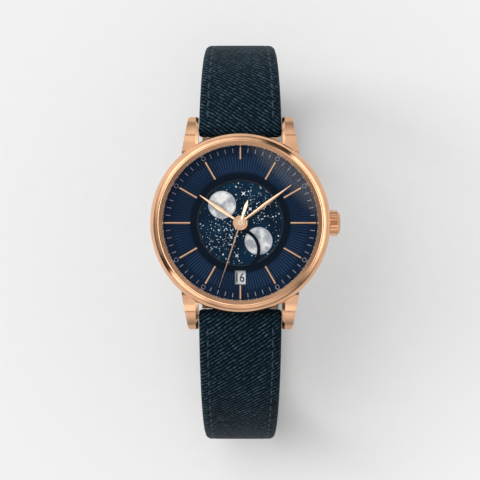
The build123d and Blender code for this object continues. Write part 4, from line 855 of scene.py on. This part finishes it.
def strap_sheet(name, half, rows, cuts, padding, face_finish):
    """rows holds (face point, under point, padding share) from the lug to the end of the sheet."""
    columns, last = len(column_places(lug_half)) - 1, len(rows) - 1
    work = counted_grid(columns, last)
    centres = {face: face.calc_center_median() for face in work.faces}
    open_cells = [
        face
        for face, centre in centres.items()
        if slot_column <= centre.x < slot_column + 2
        and any(first <= centre.y < stop for first, stop in cuts)
    ]
    bmesh.ops.delete(work, geom=open_cells, context="FACES")
    bmesh.ops.solidify(work, geom=work.faces[:], thickness=1.0)
    lowest, highest = (pick(v.co.z for v in work.verts) for pick in (min, max))
    depth_of = {v: round((highest - v.co.z) / (highest - lowest)) for v in work.verts}
    metres = work.loops.layers.uv.new("strap_metres")
    travel = [0.0]
    for (first, _, _), (second, _, _) in zip(rows, rows[1:]):
        travel.append(travel[-1] + (second - first).length)
    cut_rows = {row for cut in cuts for row in cut if 0 < row < last}
    corners = []
    for edge in work.edges:
        a, b = edge.verts
        beside_slot = round(a.co.x) in (slot_column, slot_column + 2)
        if depth_of[a] != depth_of[b] and beside_slot and round(a.co.y) in cut_rows:
            corners.append(edge)
    places = {}
    for vertex in work.verts:
        column, row = round(vertex.co.x), round(vertex.co.y)
        face_point, point, share = rows[row]
        if depth_of[vertex] == 0:
            down = (point - face_point).normalized()
            drop = padding_drop(column, columns) * squeeze_of(half_width(half, face_point.y))
            point = face_point + down * drop * share * padding
        width = half_width(half, point.y)
        left = half["end_y"] - face_point.x
        flat = row > len(rows) / 2 and abs(point.y - half["flat_z"]) < 3 * mm
        if half["side"] < 0 and flat and left < tip_round:
            width = flat_half - tip_round + math.sqrt(max(0, tip_round**2 - (tip_round - left) ** 2))
        places[vertex] = (column_places(width)[column], travel[row], point)
    for face in work.faces:
        face.material_index = 1 if len({depth_of[v] for v in face.verts}) > 1 else 0
        face.smooth = True
        for loop in face.loops:
            loop[metres].uv = places[loop.vert][:2]
    for vertex, (x, _, point) in places.items():
        vertex.co = (x, point.x, point.y)
    if corners:
        rounding = {"offset": 0.8 * mm, "offset_type": "OFFSET", "segments": 4, "profile": 0.5}
        bmesh.ops.bevel(work, geom=corners, affect="EDGES", material=-1, **rounding)
    bmesh.ops.recalc_face_normals(work, faces=work.faces[:])
    piece = mesh_object(name, work, face_finish, "painted_edge")
    print(name, "faces", len(piece.data.polygons), "length mm", round(travel[-1] / mm, 1))
    return piece


print("sheet helper ready")

# %% [markdown]
# The outer leather runs round the spring bar and comes back under itself for 3 mm, where the
# lining takes over. On the buckle half it does the same round the buckle's pin. Behind each bar
# the two layers close again in a drop shape. These rows list the leather's face and its underside
# from the lug to the end.

# %% Rows of the outer leather
bar_hole = 0.78 * mm
lead_steps, roll_steps, wrist_steps, under_steps = 4, 12, 26, 18


def drop_gap(reach, hole):
    """Half the gap between the layers at a distance from a bar's centre."""
    share = min(1.0, reach / (2.4 * hole))
    return hole * (1 - share * share * (3 - 2 * share)) + 0.01 * mm


def bend_stations(first):
    """Zone and share of the rows over both bends."""
    wrist = [first + (1 - first) * step / wrist_steps for step in range(wrist_steps + 1)]
    under = [step / under_steps for step in range(1, under_steps + 1)]
    return [("wrist", share) for share in wrist] + [("under", share) for share in under]


def flat_stations(half, places):
    """Zone and share of rows of the flat stretch at stated Y places."""
    start = half["flat_start"]
    return [("flat", (y - start) / (half["end_y"] - start)) for y in places]


def leather_rows(half, places):
    """Face point, under point and padding share of the rows up to the end of the flat stretch."""
    _, ahead, out = ways(half["side"], half["slope"])
    bar = Vector((half["side"] * bar_out, bar_up))
    rows = []
    for step in range(lead_steps):
        reach = strap_lead * (1 - step / lead_steps)
        along = reach * ahead
        rows.append((bar - roll_radius * out + along, bar - drop_gap(reach, bar_hole) * out + along, 0.25))
    for step in range(roll_steps + 1):
        turn_back = math.pi * (1 - step / roll_steps)
        ray = math.cos(turn_back) * out - math.sin(turn_back) * ahead
        rows.append((bar + roll_radius * ray, bar + bar_hole * ray, 0.25 + 0.75 * step / roll_steps))
    for step in range(1, lead_steps + 1):
        share = step / lead_steps
        reach = strap_lead * share
        under_point = bar + drop_gap(reach, bar_hole) * out + reach * ahead
        rows.append((half["outer"]("lead", share), under_point, 1.0))
    paddings = {"wrist": (1.0, 0.0), "under": (1.0, 0.3), "flat": (0.7, 0.0)}
    for zone, share in bend_stations(0.003) + flat_stations(half, places):
        face, floor = half["outer"](zone, share), half["inner"](zone, share)
        through = floor - face
        full, fade = paddings[zone]
        under_point = face + through * (1 - lining_wall / through.length)
        rows.append((face, under_point, full - fade * share))
    return rows


def even(start, stop, pitch):
    """Places from start to stop at about that pitch, without the first."""
    count = max(1, math.ceil(abs(stop - start) / pitch))
    return [start + (stop - start) * step / count for step in range(1, count + 1)]


upper = halves["upper"]
hem_places = [y * mm for y in (5.5, 4.5, 3.6, 2.7, 2.1, 1.5)]
hem_y, pin_y, pin_hole, notch_row, hem_steps = hem_places[0], hem_places[-1], 0.58 * mm, 3, 10
pin_z = upper["flat_z"] + upper["end"] / 2
rows = leather_rows(upper, even(upper["flat_start"], hem_y + 0.05 * mm, 1.3 * mm))
notch_start = len(rows) + notch_row
for y in hem_places:
    rows.append((Vector((y, upper["flat_z"])), Vector((y, pin_z - drop_gap(y - pin_y, pin_hole))), 0.6))
for step in range(1, hem_steps):
    turned = math.pi * step / hem_steps
    ray = Vector((-math.sin(turned), -math.cos(turned)))
    middle = Vector((pin_y, pin_z))
    share = 0.6 - 0.4 * step / hem_steps
    rows.append((middle + upper["end"] / 2 * ray, middle + pin_hole * ray, share))
for y in hem_places[::-1]:
    face_point = Vector((y, pin_z + upper["end"] / 2))
    rows.append((face_point, Vector((y, pin_z + drop_gap(y - pin_y, pin_hole))), 0.1))
notch = (notch_start, len(rows) - 1 - notch_row)
upper_leather = strap_sheet("upper_leather", upper, rows, [notch], 1.0, "navy_ridged_leather")
upper["rows"] = rows
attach(upper_leather, "case")
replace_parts(upper_leather, "upper_strap")

# %% [markdown]
# The long half has five slots for the tang at an even pitch, and a round tip. Its rows are set so
# that each slot starts and stops at a row.

# %% Lower leather with its slots
lower = halves["lower"]
first_slot_y, slot_pitch, slot_reach = -0.95 * mm, 6.6 * mm, 1.3 * mm
flat_places, slot_rows = [], []
last = lower["flat_start"]
for count in (4, 3, 2, 1, 0):
    middle = first_slot_y - count * slot_pitch
    flat_places += even(last, middle - slot_reach, 1.4 * mm)
    slot_rows.append(len(flat_places) - 1)
    flat_places += even(middle - slot_reach, middle + slot_reach, 1.3 * mm)
    slot_rows.append(len(flat_places) - 1)
    last = middle + slot_reach
flat_places += even(last, lower["end_y"] - tip_round, 1.4 * mm)
tip_turns = [math.radians(turned) for turned in (15, 30, 45, 57, 68, 78, 90)]
flat_places += [lower["end_y"] - tip_round * (1 - math.sin(turned)) for turned in tip_turns]


def slot_cuts(rows):
    """First and last row of each slot in a sheet that ends with the flat places."""
    ends = [len(rows) - len(flat_places) + row for row in slot_rows]
    return list(zip(ends[0::2], ends[1::2]))


rows = lower["rows"] = leather_rows(lower, flat_places)
lower_leather = strap_sheet("lower_leather", lower, rows, slot_cuts(rows), 1.0, "navy_ridged_leather")
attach(lower_leather, "case")
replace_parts(lower_leather, "lower_strap")

# %% [markdown]
# ## Lining
# The lining is the thinner sheet against the wrist. It starts where the outer leather comes back
# from the spring bar, and ends under the pin's hem on the buckle half, or at the tip on the other.
# The same helper bends it: its face is the wrist side, so the rows are given the other way round.


# %% Lining sheets
def lining_rows(half, places):
    """Rows of the lining: face on the wrist side, under side at the seam."""
    rows = []
    for zone, share in bend_stations(0.004) + flat_stations(half, places):
        face, floor = half["outer"](zone, share), half["inner"](zone, share)
        through = (floor - face).normalized()
        rows.append((floor, floor - through * (lining_wall - 0.01 * mm), 0.25))
    return rows


upper_rows = lining_rows(upper, even(upper["flat_start"], hem_y + 0.06 * mm, 1.3 * mm))
lower_rows = lining_rows(lower, flat_places)
for place, rows, cuts in (("upper", upper_rows, []), ("lower", lower_rows, slot_cuts(lower_rows))):
    piece = strap_sheet(place + "_lining_leather", halves[place], rows, cuts, 0.6, "lining_leather")
    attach(piece, "case")
    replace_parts(piece, place + "_lining")

# %% [markdown]
# ## Stitches
# Both halves are sewn along their edges, and the thread shows on the face and on the lining. Each
# stitch is a small grain of thread, half sunk in the dip that the padding has there. A round grain
# of few faces is enough, because there are hundreds. The line of a seam follows the rows of the
# leather, 1.65 mm in from the edge, and then goes round the tip of the long half. The roll round
# the spring bar and the hem round the pin aren't sewn.

# %% Seams
stitch_pitch, stitch_lean = 2.3 * mm, 0.09
grain_half = Vector((0.19, 0.84, 0.15)) * mm
unsewn_roll, unsewn_hem = lead_steps + roll_steps + 2, 16


def seam_line(half, rows, padding):
    """Points of the right edge's seam, each with the direction into the leather."""
    line = []
    for face_point, under_point, share in rows:
        if half["side"] < 0 and face_point.x > half["end_y"] - tip_round:
            break
        down = (under_point - face_point).normalized()
        squeeze = squeeze_of(half_width(half, face_point.y))
        point = face_point + down * dip_drop * mm * squeeze * share * padding
        x = half_width(half, point.y) - squeeze * stitch_inset
        line.append((Vector((x, *point)), Vector((0, *down))))
    if half["side"] < 0:
        last, down = line[-1]
        middle = Vector((flat_half - tip_round, half["end_y"] - tip_round, last.z))
        for turned in range(15, 91, 15):
            ray = Vector((math.cos(math.radians(turned)), math.sin(math.radians(turned)), 0))
            line.append((middle + (tip_round - stitch_inset) * ray, down))
        line.append((Vector((0.5 * mm, half["end_y"] - stitch_inset, last.z)), down))
    return line


def sew(work, line, hand):
    """Sets stitches at an even pitch along a seam; hand is 1 for the right edge, -1 for the left."""
    to_next, count = stitch_pitch / 2, 0
    for (start, down), (stop, _) in zip(line, line[1:]):
        stretch = stop - start
        while to_next < stretch.length:
            point, along = start + stretch * (to_next / stretch.length), stretch.normalized()
            point, along = (Vector((hand * way.x, *way.yz)) for way in (point, along))
            across = along.cross(down).normalized()
            along = (along + stitch_lean * hand * across).normalized()
            basis = Matrix((along.cross(down), along, -down)).transposed().to_4x4()
            grain = Matrix.Translation(point) @ basis @ Matrix.Diagonal((*grain_half, 1))
            bmesh.ops.create_uvsphere(work, u_segments=8, v_segments=5, radius=1, matrix=grain)
            to_next += stitch_pitch
            count += 1
        to_next -= stretch.length
    return count


def finish_piece(name, work, finish_name, body, smooth=True):
    """Turns a bmesh into a piece. It rides on the body, if one is named, and has a slot's finish."""
    bmesh.ops.recalc_face_normals(work, faces=work.faces[:])
    for face in work.faces:
        face.smooth = smooth
    piece = mesh_object(name, work, finish_name)
    if body:
        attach(piece, body)
    print(name, "faces", len(piece.data.polygons))
    return piece


seams = {
    "upper": ((upper["rows"][unsewn_roll:-unsewn_hem], 1.0), (upper_rows[:-1], 0.6)),
    "lower": ((lower["rows"][unsewn_roll:], 1.0), (lower_rows[1:], 0.6)),
}
for place, faces in seams.items():
    work = bmesh.new()
    lines = [seam_line(halves[place], rows, padding) for rows, padding in faces]
    print(place, "stitches", sum(sew(work, line, hand) for line in lines for hand in (-1, 1)))
    finish_piece(place + "_stitches", work, "waxed_thread", "case")

# %% [markdown]
# ## Keepers
# A keeper is a band of the same leather, folded to a flat tube with a slightly crowned face. The
# fixed one is sewn to the edges of the buckle half and is open above it; the free one goes all
# round both halves and slides. A strip of grid is bent round a rounded rectangle: its columns go
# round the band's own section and its rows go along the band. Merging closes the seams.

# %% Keepers
keeper_half, keeper_wall, keeper_corner = 2.1 * mm, 1.3 * mm, 0.35 * mm
keeper_in, keeper_floor = 6.3 * mm, upper["flat_z"] - 2.25 * mm
band_section = (
    (-1, 0.1), (-1, 0.62), (-0.94, 0.84), (-0.8, 0.95), (-0.45, 1), (0, 1), (0.45, 1), (0.8, 0.95),
    (0.94, 0.84), (1, 0.62), (1, 0.1), (0.94, 0), (-0.94, 0), (-1, 0.1),
)
outer_columns = 10


def station(x, z, out_x, out_z, wall=keeper_wall):
    """One row of a band: its place on the inside, the way out, and the wall there."""
    return Vector((x, z)), Vector((out_x, out_z)), wall


def quarter(middle_x, middle_z, start):
    """A quarter turn of a band."""
    rays = []
    for step in range(6):
        turned = math.radians(start + 90 * step / 5)
        rays.append(Vector((math.cos(turned), math.sin(turned))))
    return [(Vector((middle_x, middle_z)) + keeper_corner * ray, ray, keeper_wall) for ray in rays]


def band(name, stations, middle_y, body, node):
    """A leather band along stations in X and Z."""
    work = counted_grid(len(band_section) - 1, len(stations) - 1)
    travel = [0.0]
    for (first, out, wall), (second, next_out, next_wall) in zip(stations, stations[1:]):
        travel.append(travel[-1] + (second + next_wall * next_out - first - wall * out).length)
    metres = work.loops.layers.uv.new("strap_metres")
    for face in work.faces:
        for loop in face.loops:
            column, row = round(loop.vert.co.x), round(loop.vert.co.y)
            aside = 6 * mm if column > outer_columns else 0
            loop[metres].uv = (band_section[column][0] * keeper_half + aside, travel[row])
    for vertex in work.verts:
        share, lift = band_section[round(vertex.co.x)]
        point, out, wall = stations[round(vertex.co.y)]
        place = point + lift * wall * out
        vertex.co = (place.x, middle_y + share * keeper_half, place.y)
    bmesh.ops.remove_doubles(work, verts=work.verts, dist=0.002 * mm)
    bmesh.ops.holes_fill(work, edges=[edge for edge in work.edges if edge.is_boundary], sides=0)
    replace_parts(finish_piece(name, work, "navy_ridged_leather", body), node)


low_z, side_x = keeper_floor + keeper_corner, keeper_in - keeper_corner
top_z, sewn_x = upper["flat_z"] + upper["end"], flat_half + 0.02 * mm
sewn_wall = keeper_in + keeper_wall - sewn_x
right_arm = [
    station(sewn_x, top_z, 1, 0, sewn_wall),
    station(sewn_x, upper["flat_z"] - 0.1 * mm, 1, 0, sewn_wall),
    station(keeper_in, upper["flat_z"] - 0.4 * mm, 1, 0),
]
left_arm = [station(-point.x, point.y, -1, 0, wall) for point, _, wall in right_arm[::-1]]
middle = [station(0, keeper_floor, 0, -1)]
low_right, low_left = quarter(side_x, low_z, -90), quarter(-side_x, low_z, 180)
open_band = right_arm + low_right[::-1] + middle + low_left[::-1] + left_arm
band("fixed_keeper_band", open_band, 7.2 * mm, "case", "fixed_keeper")
high_z = top_z + 0.12 * mm - keeper_corner
crown = [station(0, high_z + keeper_corner, 0, 1)]
over = quarter(side_x, high_z, 0) + crown + quarter(-side_x, high_z, 90)
band("free_keeper_band", middle + low_right + over + low_left + middle, 14.2 * mm, "keeper", "free_keeper")

# %% [markdown]
# ## Print on the dial
# The minute track is printed: a tick at each minute, and a small open ring at the hours that have
# a short marker. Print stands only a few hundredths of a millimetre proud, so it is made of thin
# The opening in the dial has a thin dark lip at its foot, which covers the gap round the moon disc's edge;
# its dark navy is painted shade round the opening's rim. It is a larger spun ring.

# %% Dial print and the lip of the opening
dial_face, print_height = 5.6 * mm, 0.014 * mm
ring_in, ring_out = 0.33 * mm, 0.395 * mm
print_low, print_high = dial_face - print_height, dial_face + print_height
ring_section = ((ring_in, print_low), (ring_out, print_low), (ring_out, print_high), (ring_in, print_high))
lip_section = ((7.86, 5.14), (8.14, 5.14), (8.14, 5.59), (8.1, 5.59), (7.9, 5.2))


def spun_ring(work, centre, section, steps):
    """Spins a section of (reach, level) points about an upright line through a centre."""
    corners = [work.verts.new(centre + Vector((reach, 0, level))) for reach, level in section]
    sides = [work.edges.new((corners[index], corners[index - 1])) for index in range(len(corners))]
    turn = {"cent": centre, "axis": (0, 0, 1), "angle": 2 * math.pi}
    bmesh.ops.spin(work, geom=corners + sides, steps=steps, use_merge=True, **turn)


work = bmesh.new()
for minute in range(60):
    clock = Matrix.Rotation(-math.radians(6 * minute), 4, "Z")
    if minute % 5:
        size = Matrix.Diagonal((0.08 * mm, 0.8 * mm, 2 * print_height, 1))
        tick = Matrix.Translation((0, 13.7 * mm, dial_face)) @ size
        bmesh.ops.create_cube(work, size=1, matrix=clock @ tick)
    elif minute % 15:
        spun_ring(work, clock @ Vector((0, 13.95 * mm, 0)), ring_section, 24)
bmesh.ops.remove_doubles(work, verts=work.verts, dist=0.001 * mm)
finish_piece("minute_track", work, "pale_print", "case", smooth=False)

work = bmesh.new()
spun_ring(work, Vector((0, 0, 0)), [(reach * mm, level * mm) for reach, level in lip_section], 144)
bmesh.ops.remove_doubles(work, verts=work.verts, dist=0.001 * mm)
# The lip is dark as painted shade round the rim of the opening.
finish_piece("opening_shade_lip", work, "shade_lip_navy", "case")

# %% [markdown]
# ## Coils in the spring bars
# Inside each spring bar a coil pushes the two end pins outwards. A small circle of wire is spun round the
# bar's axis and carried along it a little at every step, which gives the coil. Each half is a piece of its
# own.

# %% Bar coils
wire, coil_radius, half_coil, coil_turns, coil_steps = 0.07 * mm, 0.32 * mm, 5.3 * mm, 14, 140
for place, side in (("upper", 1), ("lower", -1)):
    for edge, hand in (("left", -1), ("right", 1)):
        middle = Vector((0, side * bar_out, bar_up))
        work = bmesh.new()
        start = Matrix.Translation(middle + Vector((0, 0, coil_radius)))
        stand = start @ Matrix.Rotation(math.pi / 2, 4, "X")
        bmesh.ops.create_circle(work, segments=5, radius=wire, matrix=stand)
        way = {"cent": middle, "axis": (1, 0, 0), "dvec": (hand * half_coil / coil_steps, 0, 0)}
        circle = work.verts[:] + work.edges[:]
        bmesh.ops.spin(work, geom=circle, angle=2 * math.pi * coil_turns, steps=coil_steps, **way)
        bmesh.ops.holes_fill(work, edges=[rim for rim in work.edges if rim.is_boundary], sides=5)
        coil = finish_piece(f"{place}_{edge}_bar_coil", work, "machined_steel", None)
        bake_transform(coil)
        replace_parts(coil, f"{place}_bar_spring")
        print("reach mm", [round(max(hand * v.co.x for v in coil.data.vertices) / mm, 3)])

# %% [markdown]
# ## Print on the moon disc
# The disc carries two moons, so that one rises as the other sets. Each is a thin disc of print
# whose UV map runs from -1 to 1 across it, for the darker limb. The plains and craters are noise,
# so they are nobody's map. The stars are printed too: a few have four points, and the rest are
# small dots, sown at random from a fixed seed and thicker along a band across the sky.

# %% Moons
shader, place = finish("moon_print")
plains = noise(place, 420.0, 5.0, 0.62)
craters = put(shader.id_data, "TexVoronoi", Vector=place, Scale=1500.0).outputs["Distance"]
grey = tint(spread(plains, 0.42, 0.6), (164, 170, 178), (246, 246, 246))
grey = tint(spread(craters, 0.1, 0.4, 0.35, 0.0), grey, (206, 210, 214))
limb = length(put(shader.id_data, "UVMap", uv_map="across_moon").outputs["UV"])
grey = tint(spread(limb, 0.8, 1.02, 0.0, 0.6), grey, (150, 158, 168))
fill(shader, Base_Color=grey, Roughness=line(plains, 0.2, 0.4))
disc_face, moon_radius, moon_reach = 5.1 * mm, 2.63 * mm, 4.85 * mm
moon_turns = [math.radians(turned) for turned in (135.3, 315.3)]
moon_centres = [Vector((moon_reach * math.cos(t), moon_reach * math.sin(t), disc_face)) for t in moon_turns]


def print_disc(work, segments, radius, top_radius, centre):
    """A thin disc of print."""
    sizes = {"radius1": radius, "radius2": top_radius, "depth": 2 * print_height}
    stand = Matrix.Translation(centre)
    bmesh.ops.create_cone(work, cap_ends=True, segments=segments, matrix=stand, **sizes)


work = bmesh.new()
for centre in moon_centres:
    print_disc(work, 72, moon_radius, moon_radius, centre)
across = work.loops.layers.uv.new("across_moon")
for face in work.faces:
    centre = min(moon_centres, key=lambda spot: (spot - face.calc_center_median()).length)
    for loop in face.loops:
        loop[across].uv = (loop.vert.co - centre).xy / moon_radius
finish_piece("printed_moons", work, "moon_print", "moon", smooth=False)

# %% Stars
bright_stars = (
    (0.6, 5.55, 0.62), (1.85, 2.65, 0.5), (-1.75, -2.7, 0.42), (-0.65, -6.2, 0.55), (4.4, 3.4, 0.3),
)
band_turn, band_spread, star_margin = 0.62, 2.6 * mm, 0.15 * mm
work = bmesh.new()
for x, y, arm in bright_stars:
    unit = {"radius1": 1, "radius2": 1, "depth": 2 * print_height / mm}
    star = bmesh.ops.create_cone(work, cap_ends=True, segments=8, **unit)
    for vertex in star["verts"]:
        turned = round(math.degrees(math.atan2(vertex.co.x, vertex.co.y))) % 360
        pull = arm if turned % 90 == 45 else 0.24 * arm
        flat_x, flat_y = x * mm + vertex.co.x * pull * mm, y * mm + vertex.co.y * pull * mm
        vertex.co = (flat_x, flat_y, disc_face + vertex.co.z * mm)
sown = random.Random(16)
dots = 0
while dots < 400:
    x, y = sown.uniform(-8, 8) * mm, sown.uniform(-8, 8) * mm
    from_band = (y * math.cos(band_turn) - x * math.sin(band_turn)) / band_spread
    inside = 1.2 * mm < math.hypot(x, y) < 7.95 * mm
    from_moon = min((Vector((x, y)) - centre.xy).length for centre in moon_centres)
    clear = from_moon > moon_radius + star_margin
    if inside and clear and sown.random() < 0.22 + 0.78 * math.exp(-(from_band**2)):
        size = (0.05 + 0.13 * sown.random() ** 3) * mm
        print_disc(work, 6, size, 0.6 * size, (x, y, disc_face))
        dots += 1
finish_piece("printed_stars", work, "star_print", "moon", smooth=False)

# %% [markdown]
# ## Date numerals
# The date ring carries 1 to 31 in a narrow black face. Each numeral is a text object made a mesh,
# squeezed to its width, stood on the ring at 6 o'clock, and turned to its own place, so that the
# ring brings each one upright into the window in its turn. At rest the window shows the 16th.

# %% Numerals
ring_face, numeral_reach, numeral_height = 4.91 * mm, 10.3 * mm, 1.77 * mm
one_wide, two_wide, narrow_share, shown_day = 0.74, 1.55, 0.8, 16
work = bmesh.new()
for day in range(1, 32):
    words = bpy.data.curves.new("numeral", "FONT")
    words.body, words.extrude, words.resolution_u, words.offset = str(day), 0.004, 3, 0.012
    text = bpy.data.objects.new("numeral", words)
    flat = bpy.data.meshes.new_from_object(text)
    bpy.data.objects.remove(text)
    before = set(work.verts)
    work.from_mesh(flat)
    bpy.data.meshes.remove(flat)
    fresh = [vertex for vertex in work.verts if vertex not in before]
    low, high = ([pick(v.co[axis] for v in fresh) for axis in range(3)] for pick in (min, max))
    width = (two_wide if day > 9 else one_wide) * (narrow_share if day in (1, 11) else 1) * mm
    for vertex in fresh:
        x, y, z = ((vertex.co[axis] - low[axis]) / (high[axis] - low[axis]) - 0.5 for axis in range(3))
        vertex.co = (x * width, y * numeral_height - numeral_reach, ring_face + z * 2 * print_height)
    turned = Matrix.Rotation(math.radians((day - shown_day) * 360 / 31), 3, "Z")
    bmesh.ops.rotate(work, verts=fresh, cent=(0, 0, 0), matrix=turned)
bmesh.ops.remove_doubles(work, verts=work.verts, dist=0.0005 * mm)
finish_piece("date_numerals", work, "date_ink", "date", smooth=False)

# %% [markdown]
# ## Measure and finish
# The box of everything shown is kept beside the CAD box, to check that the dressed watch is still
# the size of the CAD model.

# %% The CAD size once more
print("CAD size mm", [round(v / mm, 2) for v in cad_high - cad_low])
